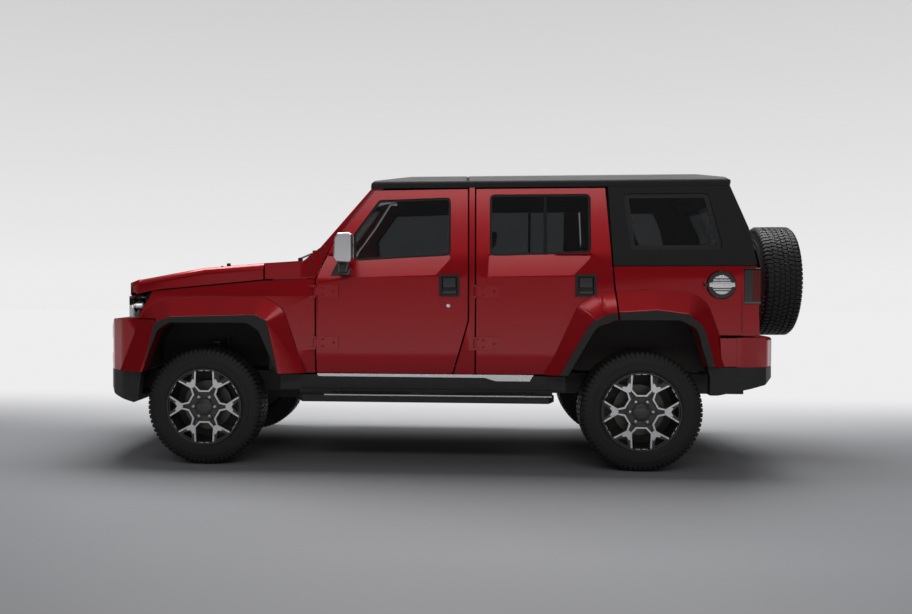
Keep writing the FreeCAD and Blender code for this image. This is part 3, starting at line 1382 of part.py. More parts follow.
TOP_REAR = [
    ("rear_axle_x + top_rear_behind - 56", "tail_belt_z + 4"),
    ("rear_axle_x + top_bend_behind - 56", "top_bend_z"),
    ("rear_axle_x + top_upper_behind - 12", "roof_low_z"),
    ("rear_axle_x + top_upper_behind + 44", "roof_low_z"),
    ("rear_axle_x + top_bend_behind", "top_bend_z"),
    ("rear_axle_x + top_rear_behind", "1290"),
    ("rear_axle_x + top_rear_behind - 4", "tail_belt_z + 4"),
]
post = shared("top_post", side_slab("top_post_form", TOP_REAR, "-900", "-top_gate_half"),
              slab("top_post_hull", "YZ_Plane", [
                  ("-belt_half + 5", "tail_belt_z"),
                  ("-shoulder_half", "shoulder_z"),
                  ("-rail_half", "rail_z"),
                  ("-rail_half", "rail_z + 10"),
                  ("0", "rail_z + 10"),
                  ("0", "tail_belt_z"),
              ], "rear_axle_x", "tail_x + 50"))
brow = side_slab("top_brow", [
    ("rear_axle_x + top_upper_behind - 12", "roof_low_z"),
    ("rear_axle_x + top_upper_behind - 2", "1740"),
    ("rear_axle_x + top_upper_behind + 56", "1740"),
    ("rear_axle_x + top_upper_behind + 44", "roof_low_z"),
], "-top_gate_half - 2", "top_gate_half + 2")
piece("hardtop", joined("hardtop", [roof_back, top_side, mirrored("top_side_right", top_side), post,
                                    mirrored("top_post_right", post), brow]))
both("quarter_glass", pane("quarter_pane", QUARTER_WINDOW, "shoulder_half - glass_inset", "1350",
                           "rail_half - 14 + 8", "1724"))

# Tail: corner posts, sill panel, lamps, bumper and lower skirt

tail_frame = [
    box("tail_post", ("tail_x - 82", "tail_x - 2"), ("-(belt_half - door_inner_depth - 30.2)", "-tailgate_half - 12"),
        ("tail_floor_z", "tail_belt_z")),
]
tail_left = cut("tail_left", tail_frame[0], [
    box("tail_lamp_room", ("tail_x - tail_lamp_ahead", "tail_x + 40"), ("-1000", "-tail_lamp_inner_half"),
        ("tail_lamp_low_z", "tail_lamp_top_z")),
])
tail_low = box("tail_low", ("tail_x - 82", "tail_x - 2"),
               ("-(belt_half - door_inner_depth - 30.2)", "belt_half - door_inner_depth - 30.2"),
               ("tail_floor_z - 60", "tail_floor_z"))
gate_lugs = [prism("gate_pin_%d" % k, "Z", 8, "hinge_pin_radius + 2", "100", "rear_axle_x + gate_hinge_behind",
                   "gate_hinge_half", z) for k, z in enumerate(("gate_hinge_low_z - 50", "gate_hinge_high_z - 50"))]
for k, z in enumerate(("gate_hinge_low_z", "gate_hinge_high_z")):
    for j, low in enumerate(("%s - 50" % z, "%s + 34" % z)):
        gate_lugs.append(box("gate_lug_%d%d" % (k, j), ("tail_x - 4", "rear_axle_x + gate_hinge_behind + 10"),
                             ("gate_hinge_half - 10", "gate_hinge_half + 24"), (low, low + " + 16")))
piece("tail_frame", joined("tail_frame", [tail_left, mirrored("tail_right", tail_left), tail_low] + gate_lugs))
tail_lamp = box("tail_lamp", ("tail_x - tail_lamp_ahead", "tail_x + tail_lamp_proud"),
                ("-(belt_half + 3)", "-tail_lamp_inner_half"), ("tail_lamp_low_z", "tail_lamp_top_z"))
both("tail_lamps", tail_lamp)


def bumper_plan(front):
    return [
        ("rear_axle_x + rear_bumper_behind", "-(rear_bumper_half - rear_bumper_corner - 40)"),
        ("rear_axle_x + rear_bumper_behind - 60", "-(rear_bumper_half - 44)"),
        ("rear_axle_x + rear_bumper_behind - rear_bumper_corner - 50", "-rear_bumper_half"),
        ("rear_axle_x + %s" % front, "-rear_bumper_half"),
        ("rear_axle_x + %s" % front, "rear_bumper_half"),
        ("rear_axle_x + rear_bumper_behind - rear_bumper_corner - 50", "rear_bumper_half"),
        ("rear_axle_x + rear_bumper_behind - 60", "rear_bumper_half - 44"),
        ("rear_axle_x + rear_bumper_behind", "rear_bumper_half - rear_bumper_corner - 40"),
    ]


rear_bumper_form = plan_slab("rear_bumper_form", bumper_plan("566"), "rear_bumper_low_z", "rear_bumper_top_z")
rear_arch_right = side_slab("rear_arch_right", REAR_ARCH, "500", "1200")
rear_arch_left = cut_edge("rear_arch_left", REAR_ARCH)
rear_inside = box("rear_inside", ("rear_axle_x + 300", "rear_axle_x + rear_bumper_behind - 90"), ("-845", "845"),
                  ("300", "900"))
piece("rear_bumper", cut("rear_bumper", rear_bumper_form, [
    rear_inside, rear_arch_left, rear_arch_right,
    box("rear_notch", ("rear_axle_x + 600", "rear_axle_x + 900"), ("-rear_bumper_notch_half", "rear_bumper_notch_half"),
        ("rear_bumper_notch_z", "900")),
]))
rear_skirt_side = side_slab("rear_skirt_side", [
    ("rear_axle_x + 396", "rear_bumper_low_z"),
    ("rear_axle_x + rear_bumper_behind - 2", "rear_bumper_low_z"),
    ("rear_axle_x + rear_bumper_behind", "rear_skirt_tip_z"),
    ("rear_axle_x + rear_bumper_behind - 68", "540"),
    ("rear_axle_x + 456", "rear_skirt_low_z"),
    ("rear_axle_x + 400", "rear_skirt_low_z"),
], "-rear_bumper_half", "rear_bumper_half")
piece("rear_skirt", cut("rear_skirt", shared("rear_skirt_form", rear_skirt_side,
                                             plan_slab("rear_skirt_plan", bumper_plan("396"), "400", "700")), [
    rear_inside, rear_arch_left, rear_arch_right,
]))

# Tailgate: lower panel, upper frame and glass, hinged on the right

gate_low = box("gate_low", ("tail_x - 78", "tail_x"), ("-tailgate_half", "tailgate_half"),
               ("tail_floor_z + 6", "tail_belt_z - 6"))
GATE_TOP = [
    ("rear_axle_x + top_rear_behind - 50", "tail_belt_z - 6"),
    ("rear_axle_x + top_rear_behind - 50", "1290"),
    ("rear_axle_x + top_bend_behind - 50", "top_bend_z"),
    ("rear_axle_x + top_upper_behind + 8", "1730"),
    ("rear_axle_x + top_upper_behind + 54", "1730"),
    ("rear_axle_x + top_bend_behind + 6", "top_bend_z"),
    ("rear_axle_x + top_rear_behind + 6", "1290"),
    ("rear_axle_x + top_rear_behind + 6", "tail_belt_z - 6"),
]
gate_top = side_slab("gate_top", GATE_TOP, "-(top_gate_half - 10)", "top_gate_half - 10")
gate_hole = slab("gate_hole", "YZ_Plane", eased([
    ("-(top_gate_half - 10 - gate_frame)", "1330"),
    ("-(top_gate_half - 10 - gate_frame)", "1676"),
    ("top_gate_half - 10 - gate_frame", "1676"),
    ("top_gate_half - 10 - gate_frame", "1330"),
], "window_corner_radius"), "rear_axle_x + 400", "rear_axle_x + 900")
gate_mount = prism("gate_mount", "X", 10, "spare_mount_radius",
                   "rear_overhang - tail_behind - tyre_width/2 + 10", "tail_x - 10", "0", "spare_z")
gate_straps = []
for k, z in enumerate(("gate_hinge_low_z", "gate_hinge_high_z")):
    strap = box("gate_strap_%d" % k, ("tail_x - 10", "rear_axle_x + gate_hinge_behind + 6"),
                ("tailgate_half - 150", "tailgate_half - 2"), ("%s - 32" % z, "%s + 32" % z))
    tongue = box("gate_tongue_%d" % k, ("rear_axle_x + gate_hinge_behind - 6", "rear_axle_x + gate_hinge_behind + 6"),
                 ("tailgate_half - 20", "gate_hinge_half"), ("%s - 32" % z, "%s + 32" % z))
    tube = prism("gate_tube_%d" % k, "Z", 8, "hinge_barrel_radius + 2", "64", "rear_axle_x + gate_hinge_behind",
                 "gate_hinge_half", "%s - 32" % z)
    bore = pin_bore("gate_bore_%d" % k, k == 0, "hinge_pin_radius + 2 + running_gap", "80",
                    "rear_axle_x + gate_hinge_behind", "gate_hinge_half", "%s - 40" % z)
    gate_straps.append(cut("gate_leaf_%d" % k, joined("gate_leaf_solid_%d" % k, [strap, tongue, tube]), [bore]))
piece("tailgate", joined("tailgate", [gate_low, cut("gate_frame", gate_top, [gate_hole]), gate_mount] + gate_straps))
gate_sheet = side_slab("gate_sheet", [
    ("rear_axle_x + top_rear_behind - 34", "1330"),
    ("rear_axle_x + top_bend_behind - 25", "top_bend_z"),
    ("rear_axle_x + top_upper_behind + 50", "1676"),
    ("rear_axle_x + top_upper_behind + 56", "1676"),
    ("rear_axle_x + top_bend_behind - 19", "top_bend_z"),
    ("rear_axle_x + top_rear_behind - 28", "1330"),
], "-(top_gate_half - 10 - gate_frame)", "top_gate_half - 10 - gate_frame")
piece("tailgate_glass", shared("gate_pane", gate_sheet, gate_hole))

# Fuel flap, sill trims, steps and mirrors

flap_disc = prism("flap_disc", "Y", 16, "fuel_flap_radius", "fuel_flap_depth",
                  "rear_axle_x + fuel_flap_behind", "-(belt_half + fuel_flap_depth + 1)", "fuel_flap_z")
flap_tab = box("flap_tab", ("rear_axle_x + fuel_flap_behind - fuel_flap_radius - 14",
                            "rear_axle_x + fuel_flap_behind - fuel_flap_radius + 20"),
               ("-(belt_half + 15)", "-(belt_half + 5)"), ("fuel_flap_z - 9", "fuel_flap_z + 9"))
flap_tube = prism("flap_tube", "Z", 8, "6", "18", "rear_axle_x + fuel_flap_behind - fuel_flap_radius - 14",
                  "-(belt_half + 10)", "fuel_flap_z - 9")
flap_bore = cylinder("flap_bore", "Z", "3 + running_gap", "40",
                     "rear_axle_x + fuel_flap_behind - fuel_flap_radius - 14", "-(belt_half + 10)", "fuel_flap_z - 20")
piece("fuel_flap", cut("fuel_flap", joined("flap_solid", [flap_disc, flap_tab, flap_tube]), [flap_bore]))

sill_trim = box("sill_trim", ("front_axle_x + front_arch_rear + 4", "rear_axle_x - rear_arch_front - 4"),
                ("-(sill_half + 2)", "-(sill_half - 100)"), ("sill_trim_low_z", "floor_z - 20"))
both("sill_trims", sill_trim)
step = plan_slab("step_bar", [
    ("front_axle_x + step_front_behind - 20", "-(step_half - step_width)"),
    ("front_axle_x + step_front_behind + 20", "-step_half"),
    ("rear_axle_x - step_rear_ahead - 40", "-step_half"),
    ("rear_axle_x - step_rear_ahead", "-(step_half - step_width)"),
], "step_z", "step_z + step_height")
brackets = [box("step_bracket_%d" % k, (x, x + " + step_bracket"), ("-(step_half - 60)", "-(rail_half_gap + rail_width)"),
                ("step_z + step_height - 8", "step_z + step_height + 12")) for k, x in
            enumerate(("front_axle_x + 760", "front_axle_x + 1330", "front_axle_x + 1980"))]
both("side_steps", joined("side_step", [step] + brackets))

mirror_shell = slab("mirror_shell", "YZ_Plane", eased([
    ("-mirror_out", "mirror_low_z"),
    ("-mirror_out", "mirror_high_z"),
    ("-mirror_in", "mirror_high_z"),
    ("-mirror_in", "mirror_low_z"),
], "mirror_radius"), "door_x + mirror_front_x", "door_x + mirror_front_x + mirror_depth")


def bevel_half(z):
    """How far out the slope below the windows lies at a height."""
    return "belt_half + 1 - (bevel_depth + 1)*((%s) - belt_z + 8)/(bevel_run + 8)" % z


mirror_foot = slab("mirror_foot", "YZ_Plane", [
    ("-(mirror_in + 40)", "mirror_foot_z + 20"),
    ("-(mirror_in + 40)", "mirror_low_z"),
    ("-(%s)" % bevel_half("mirror_low_z"), "mirror_low_z"),
    ("-(%s)" % bevel_half("mirror_foot_z"), "mirror_foot_z"),
    ("-(mirror_in + 10)", "mirror_foot_z"),
], "door_x + mirror_front_x - 6", "door_x + mirror_front_x - 6 + mirror_foot_width")
mirror_left = joined("mirror_left", [mirror_shell, mirror_foot])
piece("mirror_left", mirror_left)
piece("mirror_right", mirrored("mirror_right", mirror_left))

# Floor, fire wall and rear wheel houses

floor = box("floor_plate", ("door_x - 60", "rear_axle_x - rear_arch_front - 20"), ("-floor_half", "floor_half"),
            ("floor_z", "floor_z + floor_thickness"))
seat_floor = box("seat_floor", ("rear_axle_x - rear_arch_front - 21", "rear_axle_x - load_floor_ahead"),
                 ("-house_half", "house_half"), ("floor_z", "floor_z + floor_thickness"))
sills = [box("sill_box_%d" % k, ("door_x - 60", "rear_axle_x - rear_arch_front - 20"), y,
             ("floor_z - 20", "floor_z + floor_thickness")) for k, y in
         enumerate((("-(sill_half - 92)", "-floor_half + 1"), ("floor_half - 1", "sill_half - 92")))]
load = box("load_floor", ("rear_axle_x - load_floor_ahead", "tail_x - 82"), ("-house_half", "house_half"),
           ("load_floor_z - floor_thickness", "load_floor_z"))
rise = box("load_rise", ("rear_axle_x - load_floor_ahead - 20", "rear_axle_x - load_floor_ahead"),
           ("-house_half", "house_half"), ("floor_z", "load_floor_z"))
wall = box("fire_wall", ("hood_rear_x + 20", "hood_rear_x + 20 + firewall_thickness"), ("-760", "760"),
           ("floor_z", "1120"))
toe = box("toe_board", ("hood_rear_x + 20", "door_x - 50"), ("-760", "760"), ("floor_z", "floor_z + 20"))
houses = []
for word, low, high in (("left", "-800", "-house_half"), ("right", "house_half", "800")):
    shell = joined("house_%s_shell" % word, [
        box("house_%s_high" % word, ("rear_axle_x - 440", "rear_axle_x + 470"), (low, high), ("760", "990")),
        box("house_%s_low" % word, ("rear_axle_x - 440", "rear_axle_x + 470"),
            ("-770", high) if word == "left" else (low, "770"), ("floor_z", "761")),
    ])
    room = box("house_%s_room" % word, ("rear_axle_x - 425", "rear_axle_x + 455"),
               ("-1000", "-house_half - 15") if word == "left" else ("house_half + 15", "1000"), ("500", "975"))
    lip = box("house_%s_lip" % word, ("rear_axle_x - 130", "rear_axle_x + 470"),
              ("-(crease_half - 78.1)", "-799") if word == "left" else ("799", "crease_half - 78.1"), ("940", "990"))
    houses.append(cut("house_" + word, joined("house_%s_form" % word, [shell, lip]), [room]))
piece("floor_pan", joined("floor_pan", [floor, seat_floor, load, rise, wall, toe] + sills + houses))

# Chassis

rails = [box("rail_%d" % k, ("front_axle_x - rail_front_ahead", "rear_axle_x + rail_rear_behind"), y,
             ("rail_low_z", "rail_low_z + rail_height")) for k, y in
         enumerate((("-(rail_half_gap + rail_width)", "-rail_half_gap"),
                    ("rail_half_gap", "rail_half_gap + rail_width")))]
crosses = [box("cross_%d" % k, (x, x + " + cross_width"), ("-rail_half_gap - 1", "rail_half_gap + 1"),
               ("rail_low_z + rail_height - 55", "engine_low_z")) for k, x in
           enumerate(("front_axle_x - 480", "front_axle_x - 200", "front_axle_x + 970", "rear_axle_x - 1000",
                      "rear_axle_x + 200", "rear_axle_x + 600"))]
beam = box("front_beam", ("front_axle_x - front_overhang + 90.3", "front_axle_x - rail_front_ahead + 1"),
           ("-rail_half_gap + 100", "rail_half_gap - 100"), ("rail_low_z + 30", "engine_low_z"))
rail_tips = box("rail_tips", ("front_axle_x - rail_front_ahead", "front_axle_x - rail_front_ahead + 60"),
                ("-rail_half_gap - 1", "rail_half_gap + 1"), ("rail_low_z + 30", "engine_low_z"))
body_mounts = [box("body_mount_%d" % k, (x, x + " + 80"), y, ("rail_low_z + rail_height - 1", "floor_z")) for k, (x, y) in
               enumerate([(x, y) for x in ("door_x + 100", "rear_axle_x - 800")
                          for y in (("-(rail_half_gap + rail_width)", "-rail_half_gap"),
                                    ("rail_half_gap", "rail_half_gap + rail_width"))])]
piece("chassis_frame", joined("chassis_frame", rails + crosses + body_mounts + [beam, rail_tips]))

# Engine, drive line, axles, exhaust and tank

piece("engine", box("engine", ("front_axle_x - 380", "front_axle_x - 380 + engine_length"),
                    ("-engine_width/2", "engine_width/2"), ("engine_low_z", "engine_low_z + engine_height")))
gearbox = box("gearbox", ("front_axle_x + 240", "front_axle_x + 240 + gearbox_length"),
              ("-gearbox_width/2", "gearbox_width/2"), ("floor_z - gearbox_height + 10", "floor_z"))
prop = prism("prop_shaft", "X", 12, "shaft_radius", "rear_axle_x - diff_length/2 - 45 - (front_axle_x + 240 + gearbox_length)",
             "front_axle_x + 240 + gearbox_length", "0", "tyre_radius + 100")
piece("drive_line", joined("drive_line", [gearbox, prop]))


def axle(name, x, ends):
    tube = prism(name + "_tube", "Y", 8, "axle_tube_radius", "2*(%s)" % ends, x, "-(%s)" % ends, "tyre_radius")
    housing = prism(name + "_housing", "X", 10, "diff_radius", "diff_length", "%s - diff_length/2" % x, "0",
                    "tyre_radius")
    cover = prism(name + "_cover", "X", 10, "diff_radius - 38", "diff_length + 90", "%s - diff_length/2 - 45" % x, "0",
                  "tyre_radius")
    parts = [tube, housing, cover]
    for word, y in (("left", "-"), ("right", "")):
        low, high = ("-(rail_half_gap + 60)", "-(rail_half_gap + 20)") if y else ("rail_half_gap + 20", "rail_half_gap + 60")
        parts.append(box("%s_perch_%s" % (name, word), ("%s - 50" % x, "%s + 50" % x), (low, high),
                         ("tyre_radius - 10", "rail_low_z")))
    return parts


front_yokes = []
for word, web, arm in (("left", ("-(wheel_half_track - 150)", "-(wheel_half_track - 180)"),
                        ("-(wheel_half_track - 70)", "-(wheel_half_track - 160)")),
                       ("right", ("wheel_half_track - 180", "wheel_half_track - 150"),
                        ("wheel_half_track - 160", "wheel_half_track - 70"))):
    front_yokes.append(box("yoke_%s_web" % word, ("front_axle_x - 40", "front_axle_x + 40"), web,
                           ("tyre_radius - 150", "tyre_radius + 150")))
    for k, low, high in ((0, "tyre_radius + 130 + running_gap", "tyre_radius + 150"),
                         (1, "tyre_radius - 150", "tyre_radius - 130 - running_gap")):
        front_yokes.append(box("yoke_%s_arm_%d" % (word, k), ("front_axle_x - 40", "front_axle_x + 40"), arm,
                               (low, high)))
piece("front_axle", joined("front_axle", axle("front_axle", "front_axle_x", "wheel_half_track - 150") + front_yokes))
rear_stub = cylinder("rear_stub", "Y", "stub_radius", "2*(wheel_half_track + stub_depth)", "rear_axle_x",
                     "-(wheel_half_track + stub_depth)", "tyre_radius")
piece("rear_axle", joined("rear_axle", axle("rear_axle", "rear_axle_x", "wheel_half_track - 20") + [rear_stub]))
muffler = prism("muffler", "X", 12, "muffler_radius", "muffler_length", "rear_axle_x - 330 - muffler_length", "-250",
                "floor_z - muffler_radius")
piece("exhaust", muffler)
piece("fuel_tank", box("fuel_tank", ("rear_axle_x - 900", "rear_axle_x - 900 + tank_length"),
                       ("80", "80 + tank_width"), ("floor_z - tank_height", "floor_z")))

# Cabin: seats, dashboard, steering wheel and roll bar


def seat(name, x, low, high):
    base = box(name + "_base", (x, x + " + seat_length"), (low, high),
               ("floor_z + floor_thickness", "seat_base_z + seat_cushion"))
    back = side_slab(name + "_back", [
        ("%s + seat_length - 60" % x, "seat_base_z + seat_cushion - 20"),
        ("%s + seat_length + 60" % x, "seat_base_z + seat_cushion - 20"),
        ("%s + seat_length + seat_back_lean + 40" % x, "seat_base_z + seat_cushion + seat_back_height"),
        ("%s + seat_length + seat_back_lean - 50" % x, "seat_base_z + seat_cushion + seat_back_height"),
    ], low, high)
    return [base, back]


left_seat = joined("seat_left", seat("seat_left_form", "door_x + seat_front_x", "-(seat_gap_half + seat_width)",
                                     "-seat_gap_half"))
both("front_seats", left_seat)
piece("rear_seat", joined("rear_seat", seat("rear_seat_form", "rear_door_x + 200", "-rear_seat_half",
                                            "rear_seat_half")))
dash_form = side_slab("dash_form", [
    ("door_x - 50", "dash_low_z + 60"),
    ("door_x - 40", "screen_sill_z - 68.3"),
    ("door_x + dash_depth - 100", "dash_top_z"),
    ("door_x + dash_depth - 80", "dash_top_z - 200"),
    ("door_x + 100", "dash_low_z"),
], "-dash_half", "dash_half")
ring = cut("steering_ring", prism("steering_round", "Z", 20, "wheel_rim_radius + wheel_rim_tube",
                                  "2*wheel_rim_tube", "0", "0", "-wheel_rim_tube"),
           [prism("steering_open", "Z", 20, "wheel_rim_radius - wheel_rim_tube", "2*wheel_rim_tube + 2", "0", "0",
                  "-wheel_rim_tube - 1")])
spoke = DOC.addObject("Part::Box", "steering_spoke")
bind(spoke, "Length", "2*wheel_rim_radius - 10")
spoke.Width = 46.0
spoke.Height = 18.0
bind(spoke, "Placement.Base.x", "-(wheel_rim_radius - 5)")
spoke.Placement.Base.y = -23.0
spoke.Placement.Base.z = -9.0
hub = prism("steering_hub", "Z", 8, "wheel_hub_radius", "60", "0", "0", "-50")
steering = joined("steering_form", [ring, spoke, hub])
RAKE = FreeCAD.Rotation(Y, 65)
piece("steering_wheel", placed("steering_wheel", steering, "door_x + 300", "-wheel_y", "wheel_z", RAKE))
column_form = prism("column_form", "Z", 8, "34", "150", "0", "0", "0")
column = placed("column", column_form, "door_x + 300 - 200.3*0.906308", "-wheel_y", "wheel_z - 200.3*0.422618", RAKE)
piece("dashboard", joined("dashboard", [dash_form, column]))

cage_parts = []
for word, low, high in (("left", "-(cage_half + 60)", "-cage_half"), ("right", "cage_half", "cage_half + 60")):
    cage_parts.append(box("cage_rail_" + word, ("door_x + 420", "rear_axle_x + 470"), (low, high), ("1700", "roof_low_z")))
    cage_parts.append(box("cage_post_" + word, ("door_end_x - 10", "door_end_x + 60"), (low, high),
                          ("floor_z + floor_thickness", "1701")))
cage_parts.append(box("cage_cross", ("door_end_x - 10", "door_end_x + 60"), ("-cage_half", "cage_half"),
                      ("1710", "1760")))
for word, low, high in (("left", "-(cage_half + 60)", "-cage_half"), ("right", "cage_half", "cage_half + 60")):
    cage_parts.append(side_slab("cage_brace_" + word, [
        ("rear_axle_x + 60", "1702"),
        ("rear_axle_x + 120", "1702"),
        ("rear_axle_x + 440", "990"),
        ("rear_axle_x + 380", "990"),
    ], low, high))
piece("roll_cage", joined("roll_cage", cage_parts))

# Read every object back, then write one file per piece

DOC.recompute()
faulty = []
for thing in DOC.Objects:
    if "Invalid" in thing.State or "Error" in thing.State:
        faulty.append(thing.Name)
for name, thing in PIECES.items():
    if thing.Shape.isNull() or not thing.Shape.isValid():
        faulty.append(name)
if faulty:
    raise RuntimeError("not built: " + ", ".join(faulty))
os.makedirs("parts", exist_ok=True)
for name, thing in PIECES.items():
    thing.Shape.exportStep("parts/%s.step" % name)
print("pieces", len(PIECES))
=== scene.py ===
# %% [markdown]
# A lifted off-road 4x4, dressed for its picture. The CAD gives a frame of solids, each in its
# real place and riding on the body it moves with. This lesson copies those solids, rounds their
# edges, gives them paint, rubber, glass and cloth, and models what CAD leaves out, such as
# tread, bolts, seals and lamps.

# %% load the frame
import json
import math
import bmesh
import bpy
from mathutils import Matrix, Vector
from mathutils.bvhtree import BVHTree

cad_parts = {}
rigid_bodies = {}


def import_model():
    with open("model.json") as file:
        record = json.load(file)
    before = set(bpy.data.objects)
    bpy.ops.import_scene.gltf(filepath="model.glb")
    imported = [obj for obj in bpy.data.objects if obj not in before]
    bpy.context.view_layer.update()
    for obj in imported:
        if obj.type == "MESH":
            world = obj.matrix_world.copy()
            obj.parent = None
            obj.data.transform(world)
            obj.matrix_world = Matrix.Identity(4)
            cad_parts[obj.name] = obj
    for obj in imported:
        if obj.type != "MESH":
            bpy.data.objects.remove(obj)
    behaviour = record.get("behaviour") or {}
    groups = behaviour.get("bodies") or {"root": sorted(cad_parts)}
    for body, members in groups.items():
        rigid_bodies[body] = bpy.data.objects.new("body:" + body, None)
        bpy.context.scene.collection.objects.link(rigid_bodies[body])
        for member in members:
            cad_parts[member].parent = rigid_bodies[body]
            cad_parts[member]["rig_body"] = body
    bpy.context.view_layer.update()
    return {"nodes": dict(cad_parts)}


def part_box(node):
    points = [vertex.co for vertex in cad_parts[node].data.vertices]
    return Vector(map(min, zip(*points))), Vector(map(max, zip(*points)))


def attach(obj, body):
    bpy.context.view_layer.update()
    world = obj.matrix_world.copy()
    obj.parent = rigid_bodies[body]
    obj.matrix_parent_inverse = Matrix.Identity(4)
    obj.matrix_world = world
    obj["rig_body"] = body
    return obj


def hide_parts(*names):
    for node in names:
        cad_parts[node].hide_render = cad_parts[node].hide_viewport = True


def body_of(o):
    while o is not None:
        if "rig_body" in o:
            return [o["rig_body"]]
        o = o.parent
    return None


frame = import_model()
nodes = frame["nodes"]

# %% [markdown]
# Operators act on whatever is selected, so each step begins by clearing the selection and
# naming its one piece. Two small helpers do that, and a third opens the mesh for editing and
# picks faces by where they are or which way they look.

# %% choosing what to work on
def clear():
    if bpy.context.object is not None and bpy.context.object.mode != "OBJECT":
        bpy.ops.object.mode_set(mode="OBJECT")
    bpy.ops.object.select_all(action="DESELECT")


def only(piece):
    clear()
    piece.select_set(True)
    bpy.context.view_layer.objects.active = piece


def edit(piece, kind="FACE"):
    only(piece)
    bpy.ops.object.mode_set(mode="EDIT")
    bpy.ops.mesh.select_mode(type=kind)
    bpy.ops.mesh.select_all(action="DESELECT")


def choose(piece, test, kind="FACE"):
    """Selects the faces, edges or corners that pass the test, and says how many."""
    bpy.ops.mesh.select_mode(type=kind)
    bpy.ops.mesh.select_all(action="DESELECT")
    mesh = bmesh.from_edit_mesh(piece.data)
    parts = {"FACE": mesh.faces, "EDGE": mesh.edges, "VERT": mesh.verts}[kind]
    chosen = [part for part in parts if test(part)]
    for part in chosen:
        part.select_set(True)
    mesh.select_flush_mode()
    bmesh.update_edit_mesh(piece.data)
    return len(chosen)


def choose_all():
    bpy.ops.mesh.select_all(action="SELECT")


def face_outwards():
    choose_all()
    bpy.ops.mesh.normals_make_consistent(inside=False)


def leave():
    bpy.ops.object.mode_set(mode="OBJECT")


def score(piece, *planes):
    """Divides the faces of a piece along planes, each a point and the way it looks."""
    edit(piece)
    for point, way in planes:
        choose_all()
        bpy.ops.mesh.bisect(plane_co=point, plane_no=way)
    leave()


# %% settling a piece in its place
def settle(piece):
    """Puts the place, turn and size of an object into its mesh."""
    only(piece)
    bpy.ops.object.transform_apply(location=True, rotation=True, scale=True)
    return piece


def apply_all(piece):
    only(piece)
    for modifier in list(piece.modifiers):
        bpy.ops.object.modifier_apply(modifier=modifier.name)


def soften(piece, width=0.003, steps=2, angle=32):
    """Rounds every edge sharper than the angle, as pressed sheet and moulded plastic are."""
    rounding = piece.modifiers.new("rounding", "BEVEL")
    rounding.width = width
    rounding.segments = steps
    rounding.limit_method = "ANGLE"
    rounding.angle_limit = math.radians(angle)
    rounding.miter_outer = "MITER_ARC"
    apply_all(piece)
    return piece


def smooth(piece, angle=35):
    """Smooth shading in which wide flat faces stay flat and only the rounded edges turn."""
    only(piece)
    bpy.ops.object.shade_smooth_by_angle(angle=math.radians(angle))
    flat = piece.modifiers.new("flat faces", "WEIGHTED_NORMAL")
    flat.keep_sharp = True
    flat.weight = 100
    apply_all(piece)
    return piece


def wear(piece, *finishes):
    piece.data.materials.clear()
    for finish in finishes:
        piece.data.materials.append(finish)
    return piece


# %% [markdown]
# A CAD solid arrives as loose triangles. A copy of it is merged into one skin, its flat areas
# become single faces again, and only then can its edges be rounded. The copy takes the place of
# the solid in the picture and rides on the same body.

# %% copying a CAD solid
def skin_of(name):
    """One merged skin made from a copy of a CAD solid."""
    piece = nodes[name].copy()
    piece.data = nodes[name].data.copy()
    piece.parent = None
    piece.matrix_world = Matrix.Identity(4)
    for key in list(piece.keys()):
        del piece[key]
    bpy.context.scene.collection.objects.link(piece)
    piece.name = name + "_skin"
    edit(piece, "VERT")
    choose_all()
    bpy.ops.mesh.remove_doubles(threshold=0.00002)
    bpy.ops.mesh.dissolve_limited(angle_limit=math.radians(0.6))
    leave()
    return piece


def stand_in(piece, name, smooth_angle=35):
    """A reworked copy takes the place of its node and rides on the same body."""
    smooth(piece, smooth_angle)
    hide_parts(name)
    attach(piece, body_of(nodes[name])[0])
    return piece


def dress(name, finish, width=0.003, steps=2, angle=32, smooth_angle=35):
    """A CAD solid with rounded edges and its real finish, in the place of the plain one."""
    piece = skin_of(name)
    if width:
        soften(piece, width, steps, angle)
    wear(piece, finish)
    return stand_in(piece, name, smooth_angle)


def repaint(name, finish):
    """A CAD solid whose shape is right keeps its mesh and only takes a finish."""
    wear(nodes[name], finish)
    return nodes[name]

# %% [markdown]
# Nearly every finish shares a few effects: a fine grain, a slow drift of colour from batch to
# batch, dust that settles low, and edges rubbed bright by hands and stones. Each is built once as
# a node group with plain inputs, so a finish only sets its values.

# %% a helper that places nodes
def place(tree, kind, **inputs):
    made = tree.nodes.new(kind)
    for name, value in inputs.items():
        made.inputs[name.replace("_", " ")].default_value = value
    return made


def wire(tree, source, out, target, into):
    tree.links.new(source.outputs[out], target.inputs[into])


def new_group(title, inputs, outputs):
    group = bpy.data.node_groups.new(title, "ShaderNodeTree")
    for name, kind, value in inputs:
        made = group.interface.new_socket(name, in_out="INPUT", socket_type=kind)
        if value is not None:
            made.default_value = value
    for name, kind in outputs:
        group.interface.new_socket(name, in_out="OUTPUT", socket_type=kind)
    return group, group.nodes.new("NodeGroupInput"), group.nodes.new("NodeGroupOutput")


def maths(tree, operation, first=None, second=None, clamp=False):
    made = tree.nodes.new("ShaderNodeMath")
    made.operation = operation
    made.use_clamp = clamp
    for index, value in enumerate((first, second)):
        if isinstance(value, (int, float)):
            made.inputs[index].default_value = value
        elif value is not None:
            tree.links.new(value, made.inputs[index])
    return made.outputs[0]


# %% effect: grain
NUMBER, COLOUR, VECTOR = "NodeSocketFloat", "NodeSocketColor", "NodeSocketVector"

